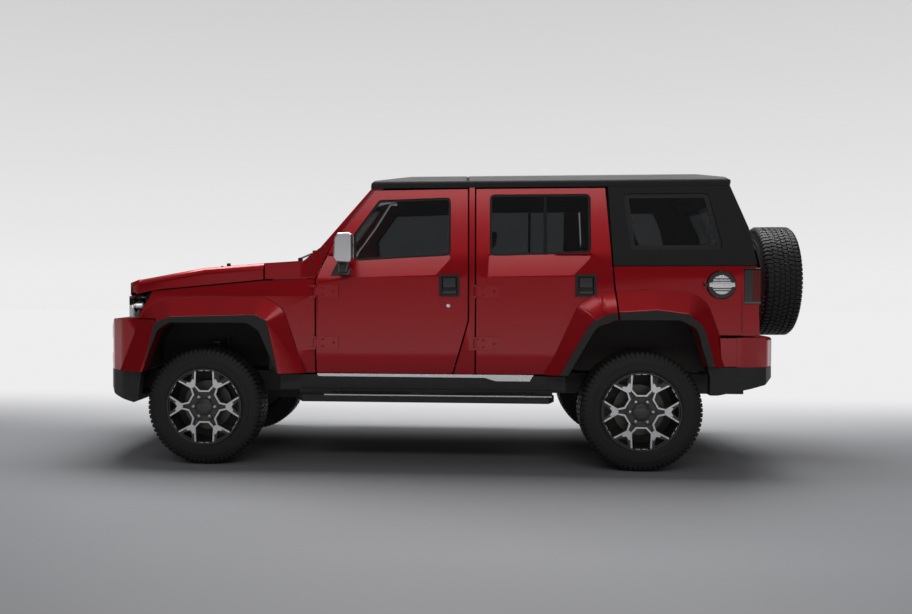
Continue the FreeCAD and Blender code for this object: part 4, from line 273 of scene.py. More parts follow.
grain, start, end = new_group(
    "fine grain",
    [("Vector", VECTOR, None), ("Scale", NUMBER, 900.0), ("Cells", NUMBER, 0.5)],
    [("Height", NUMBER)],
)
speckle = place(grain, "ShaderNodeTexNoise", Detail=3.0, Roughness=0.6)
pebbles = place(grain, "ShaderNodeTexVoronoi")
wire(grain, start, "Vector", speckle, "Vector")
wire(grain, start, "Scale", speckle, "Scale")
wire(grain, start, "Vector", pebbles, "Vector")
wire(grain, start, "Scale", pebbles, "Scale")
blend = grain.nodes.new("ShaderNodeMix")
wire(grain, start, "Cells", blend, 0)
wire(grain, speckle, "Fac", blend, 2)
wire(grain, pebbles, "Distance", blend, 3)
wire(grain, blend, 0, end, "Height")
print("made the group", grain.name)

# %% effect: colour drift
drift, start, end = new_group(
    "colour drift",
    [("Vector", VECTOR, None), ("Color", COLOUR, (0.5, 0.5, 0.5, 1)), ("Scale", NUMBER, 3.0),
     ("Spread", NUMBER, 0.06)],
    [("Color", COLOUR), ("Shade", NUMBER)],
)
clouds = place(drift, "ShaderNodeTexNoise", Detail=4.0, Roughness=0.55)
wire(drift, start, "Vector", clouds, "Vector")
wire(drift, start, "Scale", clouds, "Scale")
off_middle = maths(drift, "SUBTRACT", clouds.outputs["Fac"], 0.5)
swing = maths(drift, "MULTIPLY", off_middle, start.outputs["Spread"])
bright = maths(drift, "ADD", maths(drift, "MULTIPLY", swing, 2.0), 1.0)
hue = drift.nodes.new("ShaderNodeHueSaturation")
wire(drift, start, "Color", hue, "Color")
drift.links.new(bright, hue.inputs["Value"])
wire(drift, hue, "Color", end, "Color")
wire(drift, clouds, "Fac", end, "Shade")
print("made the group", drift.name)

# %% effect: settled dust
dust, start, end = new_group(
    "settled dust",
    [("Vector", VECTOR, None), ("Low", NUMBER, 0.35), ("High", NUMBER, 1.0),
     ("Amount", NUMBER, 0.3)],
    [("Mask", NUMBER)],
)
parts = dust.nodes.new("ShaderNodeSeparateXYZ")
wire(dust, start, "Vector", parts, "Vector")
fall = dust.nodes.new("ShaderNodeMapRange")
wire(dust, parts, "Z", fall, "Value")
wire(dust, start, "Low", fall, "From Min")
wire(dust, start, "High", fall, "From Max")
fall.inputs["To Min"].default_value = 1.0
fall.inputs["To Max"].default_value = 0.0
mottle = place(dust, "ShaderNodeTexNoise", Scale=14.0, Detail=6.0, Roughness=0.7)
wire(dust, start, "Vector", mottle, "Vector")
film = maths(dust, "MULTIPLY", fall.outputs["Result"], mottle.outputs["Fac"])
dust.links.new(maths(dust, "MULTIPLY", film, start.outputs["Amount"], clamp=True),
               end.inputs["Mask"])
print("made the group", dust.name)

# %% effect: rubbed edges
rubbed, start, end = new_group(
    "rubbed edges",
    [("Vector", VECTOR, None), ("Width", NUMBER, 0.003), ("Amount", NUMBER, 0.5)],
    [("Mask", NUMBER)],
)
round_edge = rubbed.nodes.new("ShaderNodeBevel")
round_edge.samples = 4
wire(rubbed, start, "Width", round_edge, "Radius")
facing = rubbed.nodes.new("ShaderNodeNewGeometry")
match = rubbed.nodes.new("ShaderNodeVectorMath")
match.operation = "DOT_PRODUCT"
wire(rubbed, round_edge, "Normal", match, 0)
wire(rubbed, facing, "Normal", match, 1)
turned_away = maths(rubbed, "SUBTRACT", 1.0, match.outputs["Value"])
scuffs = place(rubbed, "ShaderNodeTexNoise", Scale=60.0, Detail=5.0, Roughness=0.7)
wire(rubbed, start, "Vector", scuffs, "Vector")
patchy = maths(rubbed, "MULTIPLY", maths(rubbed, "MULTIPLY", turned_away, 6.0),
               scuffs.outputs["Fac"])
rubbed.links.new(maths(rubbed, "MULTIPLY", patchy, start.outputs["Amount"], clamp=True),
                 end.inputs["Mask"])
print("made the group", rubbed.name)

# %% [markdown]
# A finish is one Principled shader fed by those groups. Values that are the same all over, such
# as the coat of a paint, sit on the shader's own sockets.

# %% the start of every material
def new_material(title):
    """A material with its node tree, its shader and the object's own coordinates."""
    made = bpy.data.materials.new(title)
    made.use_nodes = True
    tree = made.node_tree
    return made, tree, tree.nodes["Principled BSDF"], tree.nodes.new("ShaderNodeTexCoord")


def use_group(tree, where, group, **inputs):
    """Places a node group that reads the object's coordinates, and sets its values."""
    used = tree.nodes.new("ShaderNodeGroup")
    used.node_tree = group
    for name, value in inputs.items():
        used.inputs[name].default_value = value
    wire(tree, where, "Object", used, "Vector")
    return used


# %% one recipe for opaque finishes
DUST_COLOUR = (0.30, 0.27, 0.23)


def finish(title, colour, rough, metal=0.0, coat=0.0, coat_rough=0.05, grain_scale=900.0,
           cells=0.4, depth=0.0001, spread=0.06, patch=3.0, dusty=0.0, dust_low=0.35,
           dust_high=1.1, edge=0.0, edge_width=0.003, edge_colour=(0.45, 0.45, 0.46),
           specular=0.5, rough_swing=0.12):
    made, tree, shader, where = new_material(title)
    shader.inputs["Coat Weight"].default_value = coat
    shader.inputs["Coat Roughness"].default_value = coat_rough
    shader.inputs["Specular IOR Level"].default_value = specular

    def effect(group, **inputs):
        return use_group(tree, where, group, **inputs)

    def mix(factor, first, second):
        mixed = tree.nodes.new("ShaderNodeMix")
        mixed.data_type = "RGBA"
        tree.links.new(factor, mixed.inputs[0])
        tree.links.new(first, mixed.inputs[6])
        mixed.inputs[7].default_value = (*second, 1)
        return mixed.outputs[2]

    shade = effect(drift, Color=(*colour, 1), Scale=patch, Spread=spread)
    base = shade.outputs["Color"]
    off_middle = maths(tree, "SUBTRACT", shade.outputs["Shade"], 0.5)
    roughness = maths(tree, "ADD", maths(tree, "MULTIPLY", off_middle, rough_swing), rough)
    metallic = None
    if edge:
        worn = effect(rubbed, Width=edge_width, Amount=edge).outputs["Mask"]
        base = mix(worn, base, edge_colour)
        roughness = maths(tree, "SUBTRACT", roughness, maths(tree, "MULTIPLY", worn, 0.1))
        metallic = maths(tree, "MAXIMUM", worn, metal)
    if dusty:
        film = effect(dust, Low=dust_low, High=dust_high, Amount=dusty).outputs["Mask"]
        base = mix(film, base, DUST_COLOUR)
        roughness = maths(tree, "ADD", roughness, maths(tree, "MULTIPLY", film, 0.5), True)
    tree.links.new(base, shader.inputs["Base Color"])
    tree.links.new(roughness, shader.inputs["Roughness"])
    if metallic is None:
        shader.inputs["Metallic"].default_value = metal
    else:
        tree.links.new(metallic, shader.inputs["Metallic"])
    relief = effect(grain, Scale=grain_scale, Cells=cells)
    bump = place(tree, "ShaderNodeBump", Strength=1.0, Distance=depth)
    wire(tree, relief, "Height", bump, "Height")
    wire(tree, bump, "Normal", shader, "Normal")
    return made


# %% paints, plastics, metals and rubber
red_paint = finish("red paint", (0.42, 0.003, 0.009), 0.34, metal=0.55, coat=0.60,
                   coat_rough=0.14, grain_scale=260, cells=0.0, depth=0.00006, spread=0.05,
                   specular=0.15)
roof_paint = finish("satin black roof paint", (0.030, 0.030, 0.031), 0.5, grain_scale=700,
                    depth=0.00008, specular=0.10)
black_trim = finish("moulded black trim", (0.014, 0.014, 0.015), 0.50, grain_scale=850,
                    cells=0.75, depth=0.00025, dusty=0.10)
black_steel = finish("painted black steel", (0.02, 0.02, 0.021), 0.45, grain_scale=500,
                     depth=0.0002, edge=0.5, dusty=0.35, dust_high=0.9)
gloss_black = finish("gloss black plastic", (0.008, 0.008, 0.009), 0.12, coat=0.5,
                     grain_scale=400, depth=0.00003)
cast_grey = finish("cast grey iron", (0.07, 0.07, 0.072), 0.6, metal=0.6, grain_scale=380,
                   cells=0.2, depth=0.0006, edge=0.4, dusty=0.5, dust_high=0.9)
exhaust_steel = finish("heat-dulled steel", (0.30, 0.27, 0.24), 0.42, metal=1.0, spread=0.2,
                       patch=9.0, depth=0.0001, dusty=0.3)
floor_black = finish("sprayed underbody black", (0.017, 0.017, 0.017), 0.75, grain_scale=220,
                     cells=0.3, depth=0.0008, dusty=0.4)
cabin_plastic = finish("cabin plastic", (0.022, 0.022, 0.024), 0.55, grain_scale=1100,
                       cells=0.8, depth=0.0002)
seat_cloth = finish("seat cloth", (0.030, 0.030, 0.033), 0.85, grain_scale=700, cells=0.6,
                    depth=0.0005, spread=0.12)
silver_trim = finish("satin silver trim", (0.80, 0.80, 0.81), 0.27, metal=1.0,
                     grain_scale=1200, cells=0.0, depth=0.00003)
wheel_grey = finish("dark wheel paint", (0.055, 0.056, 0.06), 0.35, metal=0.7, coat=0.5,
                    grain_scale=900, depth=0.00005, dusty=0.25, dust_high=0.9)
tyre_rubber = finish("tyre rubber", (0.010, 0.010, 0.0105), 0.55, grain_scale=420, cells=0.3,
                     depth=0.0004, dusty=0.05, dust_low=0.0, dust_high=0.9, spread=0.15)


# %% glass and lenses
def glass(title, colour, rough=0.0, tint=1.0, shine=0.5):
    made, tree, shader, where = new_material(title)
    shader.inputs["Transmission Weight"].default_value = tint
    shader.inputs["IOR"].default_value = 1.45
    shader.inputs["Specular IOR Level"].default_value = shine
    shade = use_group(tree, where, drift, Color=(*colour, 1), Scale=2.0, Spread=0.04)
    wire(tree, shade, "Color", shader, "Base Color")
    shader.inputs["Roughness"].default_value = rough
    return made


tinted_glass = glass("dark tinted glass", (0.15, 0.155, 0.16), shine=0.15)
clear_glass = glass("clear windscreen glass", (0.80, 0.84, 0.83))
lamp_glass = glass("clear lamp lens", (0.95, 0.95, 0.96))
red_lens = glass("red lamp lens", (0.30, 0.004, 0.006), rough=0.08, tint=0.5)
print("finishes", [m.name for m in bpy.data.materials if m.use_nodes])

# %% [markdown]
# Most small parts start as a flat outline pushed to a thickness, a turned ring, or a bar between
# two points. The outline begins as a circle primitive with as many corners as the shape needs,
# whose corners are set and whose face is then extruded, so it is closed from the start.

# %% outline, bar and ring
def outline(name, points, axis, low, high):
    """A solid whose flat outline is seen along an axis and runs from low to high on it."""
    clear()
    bpy.ops.mesh.primitive_circle_add(vertices=len(points), fill_type="NGON", radius=1)
    piece = bpy.context.object
    piece.name = name
    edit(piece)
    mesh = bmesh.from_edit_mesh(piece.data)
    for corner, (u, v) in zip(mesh.verts, points):
        corner.co = {"X": (low, u, v), "Y": (u, low, v), "Z": (u, v, low)}[axis]
    bmesh.update_edit_mesh(piece.data)
    choose_all()
    push = {"X": (high - low, 0, 0), "Y": (0, high - low, 0), "Z": (0, 0, high - low)}[axis]
    bpy.ops.mesh.extrude_region_move(TRANSFORM_OT_translate={"value": push})
    choose_all()
    bpy.ops.mesh.normals_make_consistent(inside=False)
    leave()
    return piece


def block(name, low, high):
    """A box between two corners, the start of many small parts."""
    (x0, y0, z0), (x1, y1, z1) = low, high
    return outline(name, [(x0, y0), (x1, y0), (x1, y1), (x0, y1)], "Z", z0, z1)


def bar(name, start, end, radius, sides=20, end_radius=None):
    """A round bar between two points."""
    start, end = Vector(start), Vector(end)
    clear()
    bpy.ops.mesh.primitive_cone_add(
        vertices=sides, radius1=radius, radius2=radius if end_radius is None else end_radius,
        depth=(end - start).length, location=(start + end) / 2,
        rotation=(end - start).to_track_quat("Z", "Y").to_euler())
    piece = bpy.context.object
    piece.name = name
    settle(piece)
    return piece


def turned(name, profile, centre, axis, sides=48, closed=False):
    """A ring or disc turned from (along, radius) points about an axis through the centre."""
    lie = {"X": (0, math.pi / 2, 0), "Y": (-math.pi / 2, 0, 0), "Z": (0, 0, 0)}[axis]
    along = {"X": Vector((1, 0, 0)), "Y": Vector((0, 1, 0)), "Z": Vector((0, 0, 1))}[axis]
    centre = Vector(centre)
    clear()
    bpy.ops.mesh.primitive_circle_add(vertices=sides, radius=profile[0][1],
                                      location=centre + along * profile[0][0], rotation=lie)
    piece = bpy.context.object
    piece.name = name
    settle(piece)
    edit(piece, "EDGE")
    choose_all()
    flat = Vector((1, 1, 1)) - along
    steps = profile[1:] + ([profile[0]] if closed else [])
    for (before, wide), (after, next_wide) in zip(profile, steps):
        bpy.ops.mesh.extrude_edges_move(
            TRANSFORM_OT_translate={"value": along * (after - before)})
        grow = next_wide / wide
        bpy.ops.transform.resize(value=[grow if f else 1 for f in flat],
                                 center_override=centre + along * after)
    choose_all()
    bpy.ops.mesh.remove_doubles(threshold=0.00001)
    if not closed:
        bpy.ops.mesh.select_all(action="DESELECT")
        bpy.ops.mesh.select_non_manifold()
        bpy.ops.mesh.edge_face_add()
    face_outwards()
    leave()
    return piece


# %% joining, copying and cutting
def weld(name, pieces):
    """Several parts of one finish become one piece."""
    clear()
    for one in pieces:
        one.select_set(True)
    bpy.context.view_layer.objects.active = pieces[0]
    if len(pieces) > 1:
        bpy.ops.object.join()
    pieces[0].name = name
    return pieces[0]


def copy_at(piece, name, shift=(0, 0, 0), turn=0.0, axis="Y", centre=(0, 0, 0)):
    """A copy with its own mesh, turned about a centre and then moved."""
    twin = piece.copy()
    twin.data = piece.data.copy()
    twin.name = name
    bpy.context.scene.collection.objects.link(twin)
    centre = Vector(centre)
    twin.data.transform(Matrix.Translation(Vector(shift)) @ Matrix.Translation(centre)
                        @ Matrix.Rotation(turn, 4, axis) @ Matrix.Translation(-centre))
    return twin


def other_side(piece, name):
    """The mirrored copy for the right side, turned the right way out."""
    twin = copy_at(piece, name)
    edit(twin)
    choose_all()
    bpy.ops.transform.resize(value=(1, -1, 1), center_override=(0, 0, 0))
    bpy.ops.mesh.flip_normals()
    leave()
    return twin


def carve(piece, *tools):
    """Takes each tool out of the piece, then throws the tool away."""
    for tool in tools:
        cutter = piece.modifiers.new("cut", "BOOLEAN")
        cutter.operation = "DIFFERENCE"
        cutter.solver = "EXACT"
        cutter.object = tool
    apply_all(piece)
    for tool in tools:
        bpy.data.objects.remove(tool)
    return piece


def fix(piece, finish, body, slot, width=0.0, steps=2, angle=32, smooth_angle=35):
    """The last step of every new piece: rounded edges, finish, and the body it rides on."""
    if width:
        soften(piece, width, steps, angle)
    if finish is not None:
        wear(piece, finish)
    smooth(piece, smooth_angle)
    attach(piece, body)
    return piece


def both_sides(piece, name, finish, bodies, slot, **edges):
    """Fixes the left piece and its mirrored right one."""
    right = other_side(piece, name + "_right")
    piece.name = name + "_left"
    fix(piece, finish, bodies[0], slot, **edges)
    fix(right, finish, bodies[1], slot, **edges)
    return piece, right


def mirrored(name, points, axis, low, high, finish_used, bodies, slot, **edges):
    """An outline modelled on the left and mirrored to the right."""
    return both_sides(outline(name, points, axis, low, high), name, finish_used, bodies, slot,
                      **edges)


SHELL = ("shell", "shell")
BONNET = ("bonnet", "bonnet")

# %% [markdown]
# The tyre is all-terrain rubber on a 250 mm wide carcass: a rounded side wall with fine rings,
# and tread blocks in a staggered pattern that reach over the shoulder. The carcass is turned from
# a profile. One pitch of blocks is shaped once and then spun round with copies, because that is
# how the pattern of a real mould repeats.

# %% tyre: carcass
TYRE_RADIUS = 0.3725
PITCHES = 74
carcass_profile = [
    (-0.098, 0.2300), (-0.112, 0.2340), (-0.1205, 0.2430), (-0.1235, 0.2530), (-0.1215, 0.2560),
    (-0.1245, 0.2620), (-0.1238, 0.2900), (-0.1222, 0.2915), (-0.1222, 0.2990), (-0.1232, 0.3005),
    (-0.1222, 0.3150), (-0.1205, 0.3180), (-0.1190, 0.3330), (-0.1150, 0.3480), (-0.1050, 0.3600),
    (-0.0700, 0.3640), (0.0, 0.3650),
]
carcass_profile += [(-y, r) for y, r in reversed(carcass_profile[:-1])]
carcass = turned("carcass", carcass_profile, (0, 0, 0), "Y", 96, closed=True)
print("carcass faces", len(carcass.data.polygons))


# %% tyre: one pitch of tread
def tread_block(x, y, long, wide, slant, height=0.0115, top=TYRE_RADIUS):
    made = block("tread_block", (-long / 2, -wide / 2, top - height), (long / 2, wide / 2, top))
    edit(made)
    choose(made, lambda face: face.normal.z > 0.9)
    bpy.ops.transform.resize(value=(0.88, 0.92, 1), center_override=(0, 0, top))
    choose_all()
    bpy.ops.transform.rotate(value=-slant, orient_axis="Z", center_override=(0, 0, 0))
    bpy.ops.transform.translate(value=(0, y, 0))
    bpy.ops.transform.rotate(value=-x / TYRE_RADIUS, orient_axis="Y", center_override=(0, 0, 0))
    leave()
    return made


pitch_length = 2 * math.pi * TYRE_RADIUS / PITCHES
half_pitch = pitch_length / 2
blocks = [
    tread_block(0.000, -0.0160, 0.0250, 0.0270, 0.30),
    tread_block(half_pitch, 0.0160, 0.0250, 0.0270, 0.30),
    tread_block(half_pitch * 0.7, -0.0500, 0.0250, 0.0300, -0.35),
    tread_block(half_pitch * 1.7, 0.0500, 0.0250, 0.0300, -0.35),
]


# %% tyre: shoulder lugs that wrap down the wall
def shoulder_lug(x, side, reach, long):
    made = block("shoulder_lug", (-long / 2, 0.072, TYRE_RADIUS - 0.012),
                 (long / 2, 0.1010, TYRE_RADIUS - 0.0005))
    edit(made)
    choose(made, lambda face: face.normal.y > 0.9)
    bpy.ops.mesh.extrude_region_move(
        TRANSFORM_OT_translate={"value": (0, 0.0150, -0.0120)})
    bpy.ops.mesh.extrude_region_move(
        TRANSFORM_OT_translate={"value": (0, 0.0055, -reach)})
    bpy.ops.transform.resize(value=(0.75, 1, 1), center_override=(0, 0, 0))
    choose_all()
    bpy.ops.transform.resize(value=(1, side, 1), center_override=(0, 0, 0))
    if side < 0:
        bpy.ops.mesh.flip_normals()
    bpy.ops.transform.rotate(value=-x / TYRE_RADIUS, orient_axis="Y", center_override=(0, 0, 0))
    leave()
    return made


for side in (-1, 1):
    offset = half_pitch * (0.25 if side < 0 else 1.25)
    blocks.append(shoulder_lug(offset, side, 0.015, pitch_length * (0.72 if side < 0 else 0.66)))
one_pitch = weld("one_pitch", blocks)
soften(one_pitch, 0.0012, 1)
edit(one_pitch)
choose_all()
bpy.ops.mesh.spin(steps=PITCHES, dupli=True, angle=2 * math.pi, center=(0, 0, 0),
                  axis=(0, 1, 0))
choose_all()
bpy.ops.mesh.remove_doubles(threshold=0.00002)
leave()
tyre_form = weld("tyre_form", [carcass, one_pitch])
wear(tyre_form, tyre_rubber)
smooth(tyre_form, 40)
print("tyre faces", len(tyre_form.data.polygons))

# %% [markdown]
# The wheel is cast alloy in two tones. Six long openings stand round the hub, each ringed by a
# bright machined band, on a body painted dark. The body is a turned plate with the openings cut
# out of it, and each band is an outline with its middle inset and taken away.

# %% wheel: outlines of the openings
def cell_points(grow=0.0):
    """The six corners of the opening at the top of the wheel, pushed out by a distance."""
    half = [(0.027 + grow * 0.55, 0.105 - grow), (0.0565 + grow, 0.136 - grow * 0.3),
            (0.0525 + grow, 0.2285 + grow * 0.75)]
    return [(-u, v) for u, v in half] + [(u, v) for u, v in reversed(half)]


FACE_Y = -0.111
SIXTH = math.pi / 3


def turned_about(points, angle):
    c, s = math.cos(angle), math.sin(angle)
    return [(u * c - v * s, u * s + v * c) for u, v in points]


# %% wheel: dark body
face_plate = turned("face_plate", [(FACE_Y, 0.030), (FACE_Y, 0.100), (FACE_Y - 0.004, 0.180),
                                   (FACE_Y - 0.006, 0.234), (FACE_Y + 0.026, 0.234),
                                   (FACE_Y + 0.030, 0.100), (FACE_Y + 0.030, 0.030)],
                    (0, 0, 0), "Y", 72, closed=True)
tools = []
for k in range(6):
    angle = k * SIXTH
    tools.append(outline("cell_%d" % k, turned_about(cell_points(), angle), "Y", -0.2, 0.0))
    web = [(0.0, 0.181), (-0.038, 0.2200), (-0.018, 0.2260), (0.018, 0.2260), (0.038, 0.2200)]
    tools.append(outline("web_%d" % k, turned_about(web, angle + SIXTH / 2), "Y", -0.2, 0.0))
    vee = [(-0.0135, 0.096), (-0.0065, 0.136), (0.0065, 0.136), (0.0135, 0.096)]
    tools.append(outline("vee_%d" % k, turned_about(vee, angle + SIXTH / 2), "Y", -0.2, -0.1035))
carve(face_plate, *tools)
soften(face_plate, 0.0018, 1)
hoop = turned("hoop", [(-0.1275, 0.2430), (-0.1275, 0.2360), (-0.1160, 0.2300), (-0.060, 0.2230),
                       (0.060, 0.2200), (0.108, 0.2250), (0.111, 0.2290), (0.095, 0.2290),
                       (-0.098, 0.2290), (-0.1150, 0.2385), (-0.1200, 0.2430)],
              (0, 0, 0), "Y", 96, closed=True)
hub_plate = turned("hub_plate", [(FACE_Y - 0.001, 0.094), (FACE_Y - 0.004, 0.089),
                                 (FACE_Y - 0.004, 0.060), (FACE_Y + 0.004, 0.058),
                                 (FACE_Y + 0.09, 0.058), (FACE_Y + 0.09, 0.080),
                                 (FACE_Y + 0.02, 0.094)], (0, 0, 0), "Y", 48, closed=True)
wheel_dark = weld("wheel_dark", [face_plate, hoop, hub_plate])
wear(wheel_dark, wheel_grey)
smooth(wheel_dark, 30)
print("dark body faces", len(wheel_dark.data.polygons))

# %% wheel: bright bands
alloy_bright = finish("machined bright alloy", (0.86, 0.86, 0.87), 0.28, metal=1.0, coat=0.2,
                      grain_scale=1500, cells=0.0, depth=0.00002, spread=0.04)
bands = []
for k in range(6):
    band = outline("band", turned_about(cell_points(0.0115), k * SIXTH), "Y",
                   FACE_Y - 0.010, FACE_Y - 0.002)
    hole = outline("hole", turned_about(cell_points(0.0002), k * SIXTH), "Y", -0.2, 0.0)
    notch = outline("notch", turned_about([(-0.006, 0.215), (0.006, 0.215), (0.006, 0.26),
                                           (-0.006, 0.26)], k * SIXTH), "Y", -0.2, 0.0)
    bands.append(carve(band, hole, notch))
    node = [(0.0, 0.137), (-0.0150, 0.148), (-0.0260, 0.172), (-0.0270, 0.190),
            (-0.0200, 0.1900), (0.0, 0.1780), (0.0200, 0.1900), (0.0270, 0.190),
            (0.0260, 0.172), (0.0150, 0.148)]
    bands.append(outline("node", turned_about(node, (k + 0.5) * SIXTH), "Y",
                         FACE_Y - 0.0098, FACE_Y))
    foot = [(-0.024, 0.0935), (-0.020, 0.1005), (0.020, 0.1005), (0.024, 0.0935)]
    bands.append(outline("foot", turned_about(foot, k * SIXTH), "Y",
                         FACE_Y - 0.0085, FACE_Y))
bright_bands = weld("bright_bands", bands)
soften(bright_bands, 0.0009, 1)
wear(bright_bands, alloy_bright)
smooth(bright_bands, 30)
print("bright faces", len(bright_bands.data.polygons))

# %% wheel: nuts, cap and brake disc
nuts, wells = [], []
for k in range(6):
    angle = (k + 0.5) * SIXTH
    x, z = 0.0699 * math.sin(angle), 0.0699 * math.cos(angle)
    nuts.append(bar("nut", (x, FACE_Y, z), (x, FACE_Y - 0.013, z), 0.0115, 6))
    nuts.append(turned("nut_dome", [(FACE_Y - 0.013, 0.0095), (FACE_Y - 0.018, 0.007),
                                    (FACE_Y - 0.020, 0.002)], (x, 0, z), "Y", 12))
    wells.append(turned("nut_well", [(FACE_Y - 0.0045, 0.0150), (FACE_Y - 0.0060, 0.0170),
                                     (FACE_Y - 0.0045, 0.0190), (FACE_Y - 0.001, 0.0190),
                                     (FACE_Y - 0.001, 0.0150)], (x, 0, z), "Y", 20, closed=True))
wheel_nuts = weld("wheel_nuts", nuts)
soften(wheel_nuts, 0.0008, 1)
wear(wheel_nuts, alloy_bright)
smooth(wheel_nuts)
cap = turned("cap", [(FACE_Y + 0.01, 0.0545), (FACE_Y - 0.005, 0.0545), (FACE_Y - 0.009, 0.0520),
                     (FACE_Y - 0.010, 0.0480), (FACE_Y - 0.0085, 0.0465),
                     (FACE_Y - 0.0105, 0.0440), (FACE_Y - 0.0135, 0.0300),
                     (FACE_Y - 0.0145, 0.0100), (FACE_Y - 0.0147, 0.0010)], (0, 0, 0), "Y", 48)
wheel_cap = weld("wheel_cap", [cap] + wells)
wear(wheel_cap, wheel_grey)
smooth(wheel_cap, 30)
brake_steel = finish("brake disc steel", (0.14, 0.135, 0.13), 0.42, metal=1.0, grain_scale=1200,
                     cells=0.0, depth=0.00005, spread=0.18, patch=14.0, dusty=0.2, dust_high=0.9)
brake_disc = turned("brake_disc", [(-0.030, 0.070), (-0.030, 0.105), (-0.012, 0.105),
                                   (-0.012, 0.158), (-0.003, 0.158), (-0.003, 0.110),
                                   (0.003, 0.110), (0.003, 0.158), (0.012, 0.158),
                                   (0.012, 0.070)], (0, 0, 0), "Y", 64, closed=True)
wear(brake_disc, brake_steel)
smooth(brake_disc, 30)
shield = turned("shield", [(0.034, 0.064), (0.034, 0.120), (0.044, 0.150), (0.044, 0.214),
                           (0.036, 0.2235), (0.046, 0.2242), (0.050, 0.150), (0.040, 0.120),
                           (0.040, 0.064)], (0, 0, 0), "Y", 48, closed=True)
wear(shield, black_steel)
smooth(shield, 30)
wheel_parts = [("wheel_body", wheel_dark), ("wheel_bands", bright_bands),
               ("wheel_nuts", wheel_nuts), ("wheel_cap", wheel_cap), ("brake_disc", brake_disc),
               ("brake_shield", shield)]

# %% [markdown]
# Five copies of the finished wheel go to their places: the left ones face outwards as modelled,
# the right ones are turned half round, and the spare on the tailgate is turned to face rearwards.

# %% wheels: set in place
def middle(node):
    low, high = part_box(node)
    return (low + high) / 2


def set_wheel(names, parts, centre, turn, body):
    """Copies the tyre and the wheel's parts to a place; names gives each piece its name."""
    tyre_name, part_name, tyre_node, rim_node = names
    forms = [(tyre_name, tyre_form, tyre_node, "tyre_rubber")]
    for title, form in parts:
        slot = "cast_grey" if title.startswith("brake") else "alloy"
        forms.append((part_name % title, form, rim_node if title == "wheel_body" else None, slot))
    for name, form, node, slot in forms:
        made = copy_at(form, name, centre, turn, "Z")
        if node:
            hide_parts(node)
        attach(made, body)


for corner, turn in (("front_left", 0.0), ("front_right", math.pi), ("rear_left", 0.0),
                     ("rear_right", math.pi)):
    set_wheel(("tyre_tread_" + corner, "%s_" + corner, "tyre_" + corner, "rim_" + corner),
              wheel_parts, middle("tyre_" + corner), turn, corner + "_wheel")
set_wheel(("spare_tyre_tread", "spare_%s", "spare_tyre", "spare_rim"), wheel_parts[:4],
          middle("spare_tyre"), math.pi / 2, "gate")
for form in [tyre_form] + [form for title, form in wheel_parts]:
    bpy.data.objects.remove(form)
print("wheels set")

# %% [markdown]
# The body is pressed steel in one red, the roof two satin black mouldings, and the arches, sills
# and skirts black moulded plastic. Each panel gets rounded edges and its finish, and the frame,
# running gear and cabin solids only take a finish. Where one solid holds parts of two finishes,
# its faces are picked by place and given the second one.

# %% a second finish on picked faces, and the surface under a point
def tint(piece, test, index):
    """Gives the faces that pass the test the finish in the slot of that number."""
    edit(piece)
    found = choose(piece, test)
    piece.active_material_index = index
    bpy.ops.object.material_slot_assign()
    leave()
    return found


def skin_point(name, start, way):
    """Where a line from a start first meets the skin of a node."""
    mesh = nodes[name].data
    tree = BVHTree.FromPolygons([v.co for v in mesh.vertices],
                                [list(p.vertices) for p in mesh.polygons])
    return tree.ray_cast(Vector(start), Vector(way))[0]


def side_at(name, x, z):
    """How far out to the left the skin of a node lies at a place seen from the side."""
    point = skin_point(name, (x, -2, z), (0, 1, 0))
    return point.y if point else -0.8


def inside(face, low, high):
    middle = face.calc_center_median()
    return all(a <= m <= b for a, m, b in zip(low, middle, high))


# %% dress the plain panels
def round_edges(piece, test, width, steps=4, least=18):
    """Rounds only the edges that pass the test and turn more than the least angle."""
    edit(piece, "EDGE")
    least = math.radians(least)
    count = choose(piece, lambda e: len(e.link_faces) == 2 and e.calc_face_angle(0) > least
                   and all(test(v.co) for v in e.verts), "EDGE")
    bpy.ops.mesh.bevel(offset=width, segments=steps, profile=0.5, clamp_overlap=True)
    leave()
    return count


def panel(name, test, width):
    """A red panel whose picked edges are rounded wide and all others a little."""
    piece = skin_of(name)
    print(name, "wide edges", round_edges(piece, test, width))
    soften(piece, 0.002, 2, 40)
    wear(piece, red_paint)
    return stand_in(piece, name)


for name in ("front_panel", "tail_frame", "windscreen_frame"):
    dress(name, red_paint)
panel("front_fenders", lambda co: abs(co.y) > 0.925 and co.z > 0.60, 0.022)
panel("body_sides", lambda co: abs(co.y) > 0.925 and co.z > 0.60, 0.022)
panel("hood", lambda co: co.z > 1.10 and co.x < -1.25, 0.014)
panel("rear_bumper", lambda co: co.x > 1.85 and co.z > 0.66, 0.020)
panel("front_bumper", lambda co: abs(co.y) > 0.30 and co.z > 0.62 and
      not (abs(abs(co.y) - 0.63) < 0.075 and 0.685 < co.z < 0.805), 0.030)
for name in ("hardtop", "roof_front"):
    dress(name, roof_paint, 0.005, 3)
for name in ("arch_trims", "rear_skirt", "side_steps"):
    dress(name, black_trim)
dress("sill_trims", black_trim, 0.002)
for name, look in (("chassis_frame", black_steel), ("roll_cage", roof_paint),
                   ("engine", cast_grey), ("drive_line", cast_grey), ("front_axle", cast_grey),
                   ("rear_axle", cast_grey), ("knuckle_left", cast_grey),
                   ("knuckle_right", cast_grey), ("exhaust", exhaust_steel),
                   ("fuel_tank", floor_black), ("floor_pan", floor_black),
                   ("dashboard", cabin_plastic), ("steering_wheel", cabin_plastic),
                   ("front_seats", seat_cloth), ("rear_seat", seat_cloth)):
    repaint(name, look)

# %% [markdown]
# The doors are red with black grab handles: a square frame, a pocket to put the fingers in and
# a paddle across it. The pocket is cut into the CAD block and the paddle is modelled on its own.

